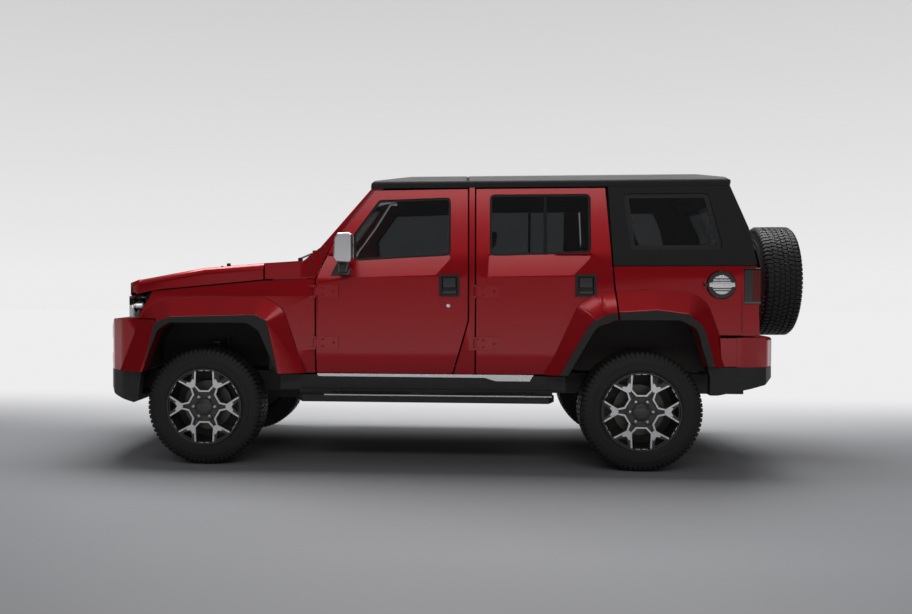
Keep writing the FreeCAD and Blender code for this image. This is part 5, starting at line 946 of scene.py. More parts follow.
# %% doors and their handles
door_bodies = {"front": ("left_front_door", "right_front_door"),
               "rear": ("left_rear_door", "right_rear_door")}
handle_x = {"front": -0.008, "rear": 0.8365}
for end in ("front", "rear"):
    x = handle_x[end]
    for side, way in (("left", -1), ("right", 1)):
        door = skin_of("door_%s_%s" % (end, side))
        near, far = sorted((way * 0.8815, way * 0.92))
        pocket = block("pocket", (x - 0.047, near, 1.095), (x + 0.047, far, 1.203))
        soften(pocket, 0.008, 3)
        carve(door, pocket)
        wear(door, red_paint, black_trim)
        tint(door, lambda f: inside(f, (x - 0.064, min(near, far) - 0.01, 1.079),
                                    (x + 0.064, max(near, far), 1.219))
             and abs(f.calc_center_median().y) > 0.8812, 1)
        soften(door, 0.003, 2)
        stand_in(door, "door_%s_%s" % (end, side))
    paddle = outline("paddle", [(x - 0.044, -0.889), (x - 0.040, -0.8935), (x + 0.040, -0.8935),
                                (x + 0.044, -0.889), (x + 0.044, -0.884), (x - 0.044, -0.884)],
                     "Z", 1.136, 1.199)
    ledge = block("ledge", (x - 0.044, -0.890, 1.098), (x + 0.044, -0.883, 1.118))
    both_sides(weld("handle_" + end, [paddle, ledge]), "handle_" + end, gloss_black,
               door_bodies[end], "black_trim", width=0.0025, steps=3)
print("doors dressed")

# %% [markdown]
# Every window is glass with a printed black band and a rubber lip round its rim. The outer face
# is inset by the width of the band, the band gets the rubber finish and is pushed out a little.

# %% glass with black bands
black_rubber = finish("black seal rubber", (0.010, 0.010, 0.010), 0.55, grain_scale=900,
                      depth=0.0001)


def banded(name, look, outer, band=0.016, lip=0.003):
    """Glass whose outer faces pass the test and carry a raised black band."""
    piece = skin_of(name)
    wear(piece, look, black_rubber)
    edit(piece)
    choose(piece, lambda f: f.calc_area() > 0.05 and outer(f))
    bpy.ops.mesh.inset(thickness=band)
    bpy.ops.mesh.hide(unselected=False)
    found = choose(piece, lambda f: not f.hide and outer(f))
    piece.active_material_index = 1
    bpy.ops.object.material_slot_assign()
    bpy.ops.mesh.extrude_region_shrink_fatten(TRANSFORM_OT_shrink_fatten={"value": lip})
    bpy.ops.mesh.reveal(select=False)
    leave()
    stand_in(piece, name)
    return found


def faces_side(face):
    return face.normal.y * face.calc_center_median().y > 0.5 * abs(face.calc_center_median().y)


for name in ("glass_front_left", "glass_front_right", "glass_rear_left", "glass_rear_right"):
    print(name, banded(name, tinted_glass, faces_side, 0.014))
banded("quarter_glass", tinted_glass, faces_side, 0.030)
banded("tailgate_glass", tinted_glass, lambda f: f.normal.x > 0.5, 0.030)
banded("windscreen", clear_glass, lambda f: f.normal.x < -0.5, 0.028)
divider = bar("divider", (0.590, -0.8445, 1.342), (0.590, -0.7925, 1.712), 0.011, 8)
both_sides(divider, "window_divider", black_rubber, door_bodies["rear"], "black_trim",
           width=0.002)

# %% [markdown]
# The rear windows of the doors and the hardtop meet other panels with thin dark gaps, and the
# roof is in two parts. A dark line is laid on the skin along each of these gaps.

# %% seams
def seam(name, node, points, wide=0.0022):
    """A thin dark line that follows the skin of a node between points seen from the side."""
    runs = []
    for (x0, z0), (x1, z1) in zip(points, points[1:]):
        start_at = (x0, side_at(node, x0, z0) + 0.0008, z0)
        end_at = (x1, side_at(node, x1, z1) + 0.0008, z1)
        runs.append(bar("run", start_at, end_at, wide, 6))
    return weld(name, runs)


lines = [seam("top_seam", "hardtop", [(1.610, 1.752), (1.668, 1.540), (1.745, 1.290)]),
         seam("corner_seam", "body_sides", [(1.776, 1.262), (1.776, 1.060), (1.776, 0.862)])]
both_sides(weld("side_seams", lines), "side_seams", black_rubber, SHELL, "black_trim")
roof_ring = outline("roof_joint", [(0.796, 1.770), (0.792, 1.800), (0.762, 1.838), (0.60, 1.849),
                                   (0.0, 1.858), (-0.60, 1.849), (-0.762, 1.838),
                                   (-0.792, 1.800), (-0.796, 1.770)], "X", 0.098, 0.116)
fix(roof_ring, black_rubber, "shell", "black_trim", width=0.002)

# %% [markdown]
# The door mirror is a rounded silver cap with a dark glass behind it, on a black foot that is
# bolted through the corner of the door.

# %% mirrors
mirror_glass = finish("mirror glass", (0.60, 0.62, 0.64), 0.03, metal=1.0, depth=0.00001)
cap = outline("mirror_cap", [(-0.716, 1.330), (-0.700, 1.296), (-0.612, 1.292),
                             (-0.604, 1.320), (-0.604, 1.462), (-0.618, 1.476),
                             (-0.690, 1.474), (-0.712, 1.440)], "Y", -1.083, -0.935)
soften(cap, 0.030, 6, 20)
carve(cap, block("glass_room", (-0.6075, -1.066, 1.308), (-0.58, -0.952, 1.460)))
pane = block("mirror_pane", (-0.6080, -1.064, 1.310), (-0.6060, -0.954, 1.458))
foot = outline("foot", [(-0.706, 1.262), (-0.700, 1.215), (-0.626, 1.206), (-0.618, 1.262)],
               "Y", -0.985, -0.862)
neck = outline("neck", [(-0.698, 1.305), (-0.690, 1.225), (-0.634, 1.225), (-0.626, 1.305)],
               "Y", -1.035, -0.958)
foot = weld("foot", [foot, neck])
plate = outline("plate", [(-0.760, 1.208), (-0.640, 1.208), (-0.640, 1.330), (-0.700, 1.330)],
                "Y", -0.880, -0.858)
FRONT_DOORS = door_bodies["front"]
caps = both_sides(cap, "mirror_cap", silver_trim, FRONT_DOORS, "silver_trim", smooth_angle=60)
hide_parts("mirror_left")
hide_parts("mirror_right")
both_sides(pane, "mirror_pane", mirror_glass, FRONT_DOORS, "silver_trim", width=0.001)
both_sides(foot, "mirror_foot", gloss_black, FRONT_DOORS, "black_trim", width=0.012, steps=4)
both_sides(plate, "mirror_plate", gloss_black, FRONT_DOORS, "black_trim", width=0.004, steps=3)

# %% [markdown]
# The fuel cap is a black ring with a round silver plate and a bar to turn it by. The right
# side of the body has a plain painted cover in the same place.

# %% fuel cap
CAP_X, CAP_Z = 1.652, 1.154
dress("fuel_flap", gloss_black, 0.002)
lid = turned("fuel_plate", [(-0.8850, 0.060), (-0.8985, 0.060), (-0.9005, 0.057)],
             (CAP_X, 0, CAP_Z), "Y", 64)
grip = block("grip", (1.576, -0.9075, 1.141), (1.728, -0.897, 1.167))
rooms = [block("room", (CAP_X - half, -0.9018, z - 0.0035), (CAP_X + half, -0.8985, z + 0.0035))
         for half, z in ((0.054, 1.176), (0.046, 1.190), (0.054, 1.132), (0.046, 1.118))]
fix(weld("fuel_grooves", rooms), gloss_black, "flap", "black_trim", width=0.001)
fix(weld("fuel_plate", [lid, grip]), silver_trim, "flap", "silver_trim", width=0.0015, steps=2)

blank = turned("blank_cover", [(0.8700, 0.0825), (0.8815, 0.0825), (0.8830, 0.0810)],
               (CAP_X, 0, CAP_Z), "Y", 64)
fix(blank, red_paint, "shell", "red_paint")

# %% [markdown]
# Hinge straps are bolted through the door skin, the front door has a round lock, and the foot
# of the windscreen frame is held by a row of bolts. One domed bolt is modelled and copied.

# %% bolts and locks
bolt = turned("bolt", [(0.0005, 0.0085), (-0.0040, 0.0085), (-0.0058, 0.0066),
                       (-0.0064, 0.0030)], (0, 0, 0), "Y", 16)


def bolts(name, places, finish_used, bodies, slot):
    made = [copy_at(bolt, "bolt", place_at) for place_at in places]
    return both_sides(weld(name, made), name, finish_used, bodies, slot)


for end, edge in (("front", -0.837), ("rear", 0.175)):
    spots = [(edge + dx, -0.8985, z + dz) for z in (1.112, 0.786)
             for dx, dz in ((0.030, 0.022), (0.030, -0.022), (0.098, 0.0))]
    bolts("strap_bolts_" + end, spots, red_paint, door_bodies[end], "red_paint")
bolts("frame_bolts", [(x, side_at("windscreen_frame", x, z), z) for x, z in
                      ((-0.800, 1.392), (-0.826, 1.352), (-0.880, 1.318), (-0.893, 1.276),
                       (-0.905, 1.232))], black_steel, SHELL, "black_steel")
lock = turned("lock", [(-0.876, 0.013), (-0.8845, 0.013), (-0.8865, 0.0105)],
              (-0.014, 0, 1.022), "Y", 24)
carve(lock, block("key_slot", (-0.0152, -0.90, 1.016), (-0.0128, -0.8850, 1.028)))
both_sides(lock, "door_lock", silver_trim, FRONT_DOORS, "silver_trim")
bpy.data.objects.remove(bolt)

# %% [markdown]
# Below the doors a polished strip runs along the sill and widens to a blank plate with a
# slanted end. The step under it has a bright line and ribbed rubber pads.

# %% sill strips and steps
mirrored("sill_strip", [(-0.848, 0.5885), (0.522, 0.5885), (0.496, 0.5455), (0.285, 0.5455),
         (0.215, 0.566), (-0.836, 0.568), (-0.848, 0.576)], "Y", -0.861, -0.850, silver_trim,
         SHELL, "silver_trim", width=0.003, steps=3)
line = bar("line", (-0.79, -0.9515, 0.462), (0.625, -0.9515, 0.462), 0.0055, 10)
both_sides(line, "step_line", silver_trim, SHELL, "silver_trim")
back = block("step_back", (-0.955, -0.880, 0.430), (0.635, -0.852, 0.492))
both_sides(back, "step_back", black_trim, SHELL, "black_trim", width=0.004)
ribs = []
for start_x in (-0.74, 0.06):
    for k in range(12):
        ribs.append(block("rib", (start_x + 0.040 * k, -0.942, 0.472),
                          (start_x + 0.040 * k + 0.022, -0.886, 0.4775)))
both_sides(weld("step_pads", ribs), "step_pads", black_rubber, SHELL, "black_trim", width=0.001)

# %% [markdown]
# The wheel arches are closed inside by black liners, so no light comes through the body. Each
# is a path seen from the side, pushed in towards the chassis, with a wall on its inner side.

# %% arch liners
def liner(name, path, wide, wall_y):
    thick = list(path)
    middle = (sum(x for x, z in path) / len(path), 0.37)
    thick += [(x + (x - middle[0]) * 0.018, z + (z - middle[1]) * 0.018)
              for x, z in reversed(path)]
    shell_part = outline(name, thick, "Y", -wide, wall_y)
    wall = outline(name + "_wall", path, "Y", wall_y, wall_y + 0.008)
    return both_sides(weld(name, [shell_part, wall]), name, floor_black, SHELL, "floor_black")


liner("front_liner", [(-1.975, 0.60), (-1.968, 0.75), (-1.895, 0.885), (-1.76, 0.945),
                      (-1.38, 0.945), (-1.245, 0.885), (-1.168, 0.75), (-1.135, 0.60)],
      0.855, -0.465)
liner("rear_liner", [(0.755, 0.60), (0.775, 0.75), (0.86, 0.90), (0.98, 0.955), (1.375, 0.955),
                     (1.495, 0.90), (1.585, 0.75), (1.62, 0.60)], 0.82, -0.615)
mirrored("lamp_brow", [(-2.140, -0.500), (-2.140, -0.600), (-2.118, -0.692), (-2.085, -0.745),
         (-2.040, -0.778), (-1.980, -0.790), (-1.980, -0.500)], "Z", 1.060, 1.084, floor_black,
         SHELL, "floor_black")
mirrored("hood_corner", [(-2.128, -0.680), (-2.1195, -0.7040), (-2.0895, -0.7475),
         (-2.0500, -0.7818), (-2.0500, -0.680)], "Z", 1.100, 1.152, red_paint, BONNET, "red_paint")
mirrored("hood_apron", [(-1.985, 0.950), (-1.985, 1.084), (-1.909, 1.135), (-1.617, 1.165),
         (-1.15, 1.200), (-1.15, 0.950)], "Y", -0.797, -0.690, floor_black, SHELL, "floor_black",
         width=0.004)
mirrored("corner_filler", [(1.651, 0.655), (1.7395, 0.655), (1.7395, 0.829), (1.640, 0.829)], "Y",
         -0.9175, -0.860, red_paint, SHELL, "red_paint", width=0.001)
mirrored("rear_post", [(1.000, 1.272), (0.991, 1.450), (0.982, 1.600), (0.976, 1.764),
         (1.030, 1.764), (1.060, 1.272)], "Y", -0.790, -0.700, roof_paint, SHELL, "roof_black",
         width=0.002)

# %% [markdown]
# The black lip of the rear arch goes on down both legs of the arch, one leg on the door and one
# on the body.

# %% rear arch legs
mirrored("door_arch_leg", [(0.7215, 0.594), (0.8150, 0.7575), (0.8800, 0.8700), (0.9050, 0.8980),
         (0.9650, 0.9250), (1.0050, 0.9370), (1.0225, 0.9370), (1.0225, 0.9800), (0.9950, 0.9800),
         (0.9350, 0.9590), (0.8780, 0.9310), (0.8400, 0.8900), (0.6720, 0.5940)], "Y", -0.9625,
         -0.9500, black_trim, door_bodies["rear"], "black_trim", width=0.002)
mirrored("body_arch_leg", [(1.4300, 0.9270), (1.4855, 0.8900), (1.5030, 0.8500), (1.5600, 0.6560),
         (1.6040, 0.6560), (1.5450, 0.8650), (1.5200, 0.9150), (1.4600, 0.9570)], "Y", -0.9625,
         -0.9500, black_trim, SHELL, "black_trim", width=0.002)

# %% [markdown]
# Each headlamp is a clear lens over a black bowl. The lens is the front of the CAD solid, its
# back faces are black, and two bright reflectors and a row of bars sit behind the lens.

# %% headlamps
chrome = finish("lamp reflector", (0.75, 0.75, 0.76), 0.08, metal=1.0, depth=0.00001)
lamp = skin_of("headlamps")
wear(lamp, lamp_glass, gloss_black)
tint(lamp, lambda f: f.normal.x > 0.3 or abs(f.normal.z) > 0.72
     or f.normal.y * f.calc_center_median().y < -0.5 * abs(f.calc_center_median().y), 1)
stand_in(lamp, "headlamps")
LAMP, TO_OUTER = (0, -0.625, 1.008), (0.045, -0.125, 0.006)
bowl = turned("bowl", [(-2.100, 0.052), (-2.045, 0.052), (-2.045, 0.010), (-2.060, 0.028),
                       (-2.082, 0.041), (-2.099, 0.047)], LAMP, "X", 40, closed=True)
far_bowl = copy_at(bowl, "bowl", TO_OUTER)
lens = turned("bulb", [(-2.060, 0.012), (-2.075, 0.024), (-2.086, 0.020), (-2.092, 0.008)],
              LAMP, "X", 32)
far_lens = copy_at(lens, "bulb", TO_OUTER)
both_sides(weld("reflectors", [bowl, far_bowl]), "lamp_bowls", chrome, SHELL, "silver_trim",
           smooth_angle=50)
both_sides(weld("bulbs", [lens, far_lens]), "lamp_bulbs", mirror_glass, SHELL, "silver_trim",
           smooth_angle=50)
strips = [bar("strip", (-2.078, -0.690, 0.962 + 0.014 * k), (-2.022, -0.800, 0.962 + 0.014 * k),
              0.003, 8) for k in range(2)]
strips.append(bar("strip", (-2.040, -0.800, 1.072), (-1.975, -0.842, 1.074), 0.005, 8))
both_sides(weld("lamp_bars", strips), "lamp_bars", chrome, SHELL, "silver_trim")

# %% [markdown]
# Between the lamps a black panel carries a honeycomb of small six-sided cells in a shallow
# recess.

# %% grille honeycomb
grille = skin_of("grille")
GRILLE_X = -2.1435
room = outline("room", [(-0.49, 0.962), (0.49, 0.962), (0.49, 1.040), (-0.49, 1.040)], "X",
               -2.20, GRILLE_X + 0.012)
soften(room, 0.01, 3)
carve(grille, room)
wear(grille, gloss_black)
soften(grille, 0.002, 2)
stand_in(grille, "grille")
cell = turned("cell", [(GRILLE_X + 0.013, 0.0135), (GRILLE_X + 0.002, 0.0135),
                       (GRILLE_X + 0.002, 0.0105), (GRILLE_X + 0.013, 0.0105)], (0, 0, 0), "X", 6,
              closed=True)
cells = []
for row in range(3):
    for column in range(37):
        cells.append(copy_at(cell, "cell", (0, -0.468 + 0.0253 * column + 0.01265 * (row % 2),
                                            0.977 + 0.0225 * row)))
bpy.data.objects.remove(cell)
fix(weld("grille_mesh", cells), black_trim, "shell", "black_trim")

# %% [markdown]
# The bumper has slats and posts in its mouth, round fog lamps in pockets, two tow eyes and a
# silver plate under its chin.

# %% bumper fittings
bars = [block("slat", (-2.150, -0.50, 0.640 + 0.036 * k), (-2.128, 0.50, 0.648 + 0.036 * k))
        for k in range(5)]
bars += [block("post", (-2.140, -0.45 + 0.1 * k, 0.625), (-2.134, -0.444 + 0.1 * k, 0.80))
         for k in range(10)]
bars.append(block("dark_back", (-2.05, -0.60, 0.60), (-2.04, 0.60, 0.93)))
fix(weld("mouth_slats", bars), black_trim, "shell", "black_trim", width=0.0015)
FOG = (0, -0.630, 0.745)
fog = turned("fog", [(-2.208, 0.044), (-2.222, 0.044), (-2.226, 0.041), (-2.226, 0.036),
                     (-2.214, 0.032), (-2.208, 0.010)], FOG, "X", 40, closed=True)
fog_lens = turned("fog_lens", [(-2.212, 0.034), (-2.218, 0.033), (-2.222, 0.022),
                               (-2.224, 0.008)], FOG, "X", 40)
both_sides(fog, "fog_ring", gloss_black, SHELL, "black_trim", smooth_angle=40)
both_sides(fog_lens, "fog_lens", chrome, SHELL, "lamp_glass", smooth_angle=40)
eye = turned("tow_eye", [(-0.011, 0.030), (0.011, 0.030), (0.011, 0.052), (-0.011, 0.052)],
             (-2.243, -0.40, 0.545), "Y", 32, closed=True)
both_sides(eye, "tow_eye", black_steel, SHELL, "black_steel", width=0.004, steps=3)
SILVER_HALF, SILVER_X = 0.64, -2.262
skirt = skin_of("front_skirt")
score(skirt, ((0, -SILVER_HALF, 0), (0, 1, 0)), ((0, SILVER_HALF, 0), (0, 1, 0)),
      ((SILVER_X, 0, 0), (1, 0, 0)))
wear(skirt, black_trim, silver_trim)
tint(skirt, lambda f: f.calc_center_median().x < SILVER_X or f.normal.z < -0.5
     and abs(f.calc_center_median().y) < SILVER_HALF and f.calc_center_median().x < -2.06, 1)
soften(skirt, 0.004, 2)
stand_in(skirt, "front_skirt")

# %% [markdown]
# At the back a black housing holds each tail lamp, whose lens wraps round the corner. The
# tailgate is red below and black round its glass, with a pull handle and hinge straps.

# %% tail lamps
tail = skin_of("tail_lamps")
score(tail, ((1.838, 0, 0), (1, 0, 0)), ((0, 0, 1.052), (0, 0, 1)), ((0, 0, 1.240), (0, 0, 1)))
wear(tail, gloss_black, red_lens)
tint(tail, lambda f: inside(f, (1.839, -1, 1.053), (1.95, 1, 1.239)), 1)
soften(tail, 0.004, 3, 60)
stand_in(tail, "tail_lamps")
reflectors = block("reflector", (1.976, -0.66, 0.690), (1.9865, -0.56, 0.722))
both_sides(reflectors, "bumper_reflector", red_lens, SHELL, "red_lens", width=0.002)

# %% tailgate
GATE_SPLIT_Z = 1.272
gate = skin_of("tailgate")
wear(gate, red_paint, roof_paint)
tint(gate, lambda f: f.calc_center_median().z > GATE_SPLIT_Z, 1)
soften(gate, 0.003, 2)
stand_in(gate, "tailgate")
pull = block("pull", (1.879, -0.575, 1.020), (1.900, -0.470, 1.100))
carve(pull, block("pull_room", (1.893, -0.562, 1.034), (1.92, -0.483, 1.086)))
pull_bar = block("pull_bar", (1.892, -0.560, 1.050), (1.903, -0.485, 1.074))
straps = []
for z in (1.16, 0.93):
    straps.append(block("strap", (1.880, 0.50, z - 0.028), (1.893, 0.655, z + 0.028)))
    straps.append(bar("barrel", (1.896, 0.665, z - 0.045), (1.896, 0.665, z + 0.045), 0.014, 16))
fix(weld("gate_fittings", [pull, pull_bar] + straps), black_trim, "gate", "black_trim",
    width=0.003, steps=3)
high_lamp = block("high_lamp", (1.732, -0.13, 1.742), (1.748, 0.13, 1.760))
fix(high_lamp, red_lens, "shell", "red_lens", width=0.002)

# %% [markdown]
# Each side of the hood has two rubber stops and three washer jets, the cowl has a row of slots,
# and the wipers lie parked low on the glass.

# %% hood, cowl and wipers
def on_top(name, x, y):
    """The height of the skin of a node seen from above."""
    point = skin_point(name, (x, y, 3), (0, 0, -1))
    return point.z if point else 1.3


stops = []
for x, wide, tall in ((-1.490, 0.011, 0.026), (-1.535, 0.006, 0.012)):
    top = on_top("hood", x, -0.56)
    stops.append(block("stop", (x - wide, -0.575, top - 0.006), (x + wide, -0.545, top + tall)))
jets = []
for x, y in ((-1.258, -0.52), (-1.258, -0.25), (-1.345, -0.50)):
    top = on_top("hood", x, y)
    jets.append(block("jet", (x - 0.016, y - 0.012, top - 0.004), (x + 0.010, y + 0.012,
                                                                   top + 0.008)))
both_sides(weld("hood_stops", stops + jets), "hood_stops", black_rubber, BONNET,
           "black_trim", width=0.003, steps=3)
slots = [block("slot", (-1.052 + 0.0165 * k, -0.60, 1.2985 + 0.001 * k),
               (-1.043 + 0.0165 * k, 0.60, 1.3075 + 0.001 * k)) for k in range(4)]
fix(weld("cowl_slots", slots), black_trim, "shell", "black_trim", width=0.0015)
wipers = []
for y in (-0.50, 0.10):
    wipers.append(bar("pivot", (-1.000, y - 0.08, 1.300), (-1.000, y - 0.08, 1.330), 0.016, 16))
    wipers.append(bar("arm", (-1.000, y - 0.08, 1.326), (-0.902, y + 0.22, 1.392), 0.007, 10))
    wipers.append(bar("blade", (-0.911, y - 0.08, 1.371), (-0.893, y + 0.46, 1.388), 0.009, 10))
fix(weld("wipers", wipers), black_trim, "shell", "black_trim", width=0.002)

# %% [markdown]
# Seats are foam under cloth. A cushion starts a little smaller than the CAD solid, is remeshed
# into an even skin and blown up by a cloth simulation until it crowns, and no point may move
# further than 24 mm. Sewn channels are pressed in afterwards, where a voxel can't lose them.

# %% pads
def pad(name, side_view, low, high):
    """A pad seen from the side, its rims well rounded, as an even skin."""
    piece = outline(name, side_view, "Y", low, high)
    soften(piece, 0.022, 3, 20)
    skin = piece.modifiers.new("even", "REMESH")
    skin.mode = "VOXEL"
    skin.voxel_size = 0.011
    apply_all(piece)
    return piece


CLOTH_FRAMES = 20


def blow_up(pads, most=0.024):
    """Inflates the pads together and holds every point within reach of its start."""
    starts = {}
    for piece in pads:
        starts[piece.name] = [v.co.copy() for v in piece.data.vertices]
        cloth = piece.modifiers.new("swell", "CLOTH")
        cloth.settings.quality = 4
        cloth.settings.use_pressure = True
        cloth.settings.uniform_pressure_force = 4
        cloth.settings.effector_weights.gravity = 0
        cloth.collision_settings.use_collision = False
        cloth.point_cache.frame_start = 1
        cloth.point_cache.frame_end = CLOTH_FRAMES
    for frame_number in range(1, CLOTH_FRAMES + 1):
        bpy.context.scene.frame_set(frame_number)
    for piece in pads:
        apply_all(piece)
        for vertex, before in zip(piece.data.vertices, starts[piece.name]):
            move = vertex.co - before
            if move.length > most:
                vertex.co = before + move.normalized() * most
    bpy.context.scene.frame_set(1)


def round_off(piece):
    finer = piece.modifiers.new("finer", "SUBSURF")
    finer.levels = finer.render_levels = 1
    apply_all(piece)
    return piece


def press_in(piece, distance_to_seam, deep=0.006, reach=0.012):
    """Sewn channels: points close to a seam move in along their normals."""
    moves = []
    for vertex in piece.data.vertices:
        painted_glow_mask = abs(distance_to_seam(vertex.co))
        if painted_glow_mask < reach:
            moves.append((vertex, vertex.normal * deep * (1 - painted_glow_mask / reach) ** 2))
    for vertex, move in moves:
        vertex.co -= move
    return piece


def head_places(low, high):
    """The middles of the headrests: one on a seat, three on a bench."""
    count = 1 if high - low < 0.8 else 3
    return [low + (high - low) * (k + 0.5) / count for k in range(count)]


def seat_pads(title, x, low, high):
    made = [pad(title + "_cushion", [(x + 0.030, 0.812), (x + 0.030, 0.880), (x + 0.070, 0.902),
                                     (x + 0.440, 0.885), (x + 0.450, 0.812)],
                low + 0.022, high - 0.022),
            pad(title + "_back", [(x + 0.462, 0.915), (x + 0.545, 0.915), (x + 0.622, 1.345),
                                  (x + 0.568, 1.345)], low + 0.026, high - 0.026)]
    for k, y in enumerate(head_places(low, high)):
        made.append(pad(title + "_head_%d" % k, [(x + 0.578, 1.392), (x + 0.632, 1.392),
                                                 (x + 0.650, 1.505), (x + 0.606, 1.505)],
                        y - 0.115, y + 0.115))
    return made


def seat_frame(title, x, low, high):
    """Plinth, back shell and headrest posts under the pads."""
    made = [block("plinth", (x + 0.04, low + 0.05, 0.632), (x + 0.46, high - 0.05, 0.800)),
            outline("shell_back", [(x + 0.548, 0.90), (x + 0.562, 0.90), (x + 0.640, 1.34),
                                   (x + 0.628, 1.34)], "Y", low + 0.03, high - 0.03)]
    for y in head_places(low, high):
        made += [bar("post", (x + 0.594, y + s, 1.330), (x + 0.606, y + s, 1.410), 0.006, 10)
                 for s in (-0.05, 0.05)]
    return weld(title, made)


SEAT = (-0.346, -0.630, -0.130)
BENCH = (0.361, -0.575, 0.575)
front_pads = seat_pads("front", *SEAT)
rear_pads = seat_pads("rear", *BENCH)
blow_up(front_pads + rear_pads)
for piece in front_pads + rear_pads:
    round_off(piece)
for piece, x, seams_y in ((front_pads[0], SEAT[0], (-0.52, -0.24)),
                          (rear_pads[0], BENCH[0], (-0.19, 0.19))):
    press_in(piece, lambda co: min((co.x - x - 0.16, co.x - x - 0.30, *(co.y - s
             for s in seams_y)), key=abs))
for piece, seams_y in ((front_pads[1], (-0.53, -0.23)), (rear_pads[1], (-0.19, 0.19))):
    press_in(piece, lambda co: min((co.z - 1.06, co.z - 1.20, *(co.y - s for s in seams_y)),
                                   key=abs))
left_pads = weld("seat_pads", front_pads)
front_cloth = weld("front_seat_pads", [left_pads, other_side(left_pads, "right_pads")])
for piece, name in ((front_cloth, "front_seats"), (weld("rear_seat_pads", rear_pads), "rear_seat")):
    wear(piece, seat_cloth)
    only(piece)
    bpy.ops.object.shade_smooth()
    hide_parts(name)
    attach(piece, "shell")
both_sides(seat_frame("seat_frame", *SEAT), "seat_frame", cabin_plastic, SHELL,
           "cabin_plastic", width=0.006)
fix(seat_frame("rear_seat_frame", *BENCH), cabin_plastic, "shell",
    "cabin_plastic", width=0.006)

# %% [markdown]
# Through the dark glass the cabin shows as shapes only, so it gets its main ones: a console
# with a gear lever, a screen and round vents on the dashboard.

# %% cabin
console = outline("console", [(-0.700, 0.632), (-0.700, 0.900), (-0.560, 0.860), (-0.380, 0.800),
                              (0.060, 0.790), (0.060, 0.632)], "Y", -0.095, 0.095)
soften(console, 0.012, 3)
lever = bar("lever", (-0.43, 0.0, 0.80), (-0.46, 0.0, 0.930), 0.007, 12)
knob = turned("knob", [(0.915, 0.010), (0.925, 0.022), (0.950, 0.024), (0.965, 0.014)],
              (-0.462, 0, 0), "Z", 20)
screen = block("screen", (-0.586, -0.13, 1.010), (-0.574, 0.13, 1.150))
vents = [turned("vent", [(-0.584, 0.040), (-0.572, 0.040), (-0.572, 0.032), (-0.580, 0.030)],
                (0, y, 1.08), "X", 32, closed=True) for y in (-0.68, -0.19, 0.19, 0.68)]
fix(weld("cabin_fittings", [console, lever, knob, screen] + vents), cabin_plastic, "shell",
    "cabin_plastic", width=0.002)

# %% [markdown]
# Under the car each wheel has a coil spring and a damper between the axle and the frame.

# %% springs and dampers
def coil(name, centre, radius, wire_radius, turns, pitch):
    """A wire circle turned and lifted round a vertical axis."""
    clear()
    bpy.ops.mesh.primitive_circle_add(vertices=10, radius=wire_radius, fill_type="NGON",
                                      location=(radius, 0, 0), rotation=(math.pi / 2, 0, 0))
    piece = bpy.context.object
    settle(piece)
    wind = piece.modifiers.new("wind", "SCREW")
    wind.axis = "Z"
    wind.angle = 2 * math.pi * turns
    wind.screw_offset = pitch * turns
    wind.steps = wind.render_steps = int(20 * turns)
    apply_all(piece)
    piece.name = name
    piece.data.transform(Matrix.Translation(Vector(centre)))
    edit(piece)
    choose_all()
    bpy.ops.mesh.remove_doubles(threshold=0.00001)
    bpy.ops.mesh.normals_make_consistent(inside=False)
    leave()
    return piece


for title, x in (("front", -1.5715), ("rear", 1.1735)):
    spring = coil("spring", (x, -0.555, 0.425), 0.042, 0.0075, 5, 0.066)
    seats = [turned("cup", [(z, 0.052), (z + 0.012, 0.052)], (x, -0.555, 0), "Z", 32)
             for z in (0.408, 0.760)]
    body = bar("damper", (x + 0.10, -0.515, 0.40), (x + 0.08, -0.515, 0.62), 0.026, 20)
    rod = bar("rod", (x + 0.08, -0.515, 0.60), (x + 0.065, -0.515, 0.80), 0.010, 14)
    both_sides(weld(title + "_spring", [spring] + seats + [body, rod]), title + "_spring",
               black_steel, SHELL, "black_steel", smooth_angle=40)

# %% [markdown]
# An open door shows its inner side: a moulded card with an armrest, a pull and a map pocket,
# clipped to the steel of the door.

# %% door cards
def inner_at(name, x, z):
    """How far out the inner skin of a left node lies at a place seen from the side."""
    point = skin_point(name, (x, -0.5, z), (0, -1, 0))
    return point.y if point else -0.76


cards = {
    "front": ([(-0.780, 0.670), (-0.050, 0.670), (0.040, 0.900), (0.040, 1.215), (-0.700, 1.190)],
              (-0.52, -0.16)),
    "rear": ([(0.225, 0.670), (0.655, 0.670), (0.820, 0.960), (0.940, 1.030), (0.940, 1.240),
              (0.225, 1.225)], (0.34, 0.70)),
}
for end, (card_shape, (rest_from, rest_to)) in cards.items():
    skin_y = inner_at("door_%s_left" % end, (rest_from + rest_to) / 2, 0.95)
    card = outline("card", card_shape, "Y", skin_y - 0.002, skin_y + 0.005)
    arm = block("arm", (rest_from, skin_y, 0.955), (rest_to, skin_y + 0.036, 0.995))
    pull = block("pull", (rest_from + 0.05, skin_y, 1.060), (rest_from + 0.17, skin_y + 0.018,
                                                             1.090))
    ledge = block("pocket_lip", (rest_from - 0.03, skin_y, 0.740), (rest_to - 0.04,
                                                                    skin_y + 0.022, 0.760))
    both_sides(weld("card_" + end, [card, arm, pull, ledge]), "door_card_" + end, cabin_plastic,
               door_bodies[end], "cabin_plastic", width=0.004, steps=3)
    print(end, "door card at", round(skin_y, 4))
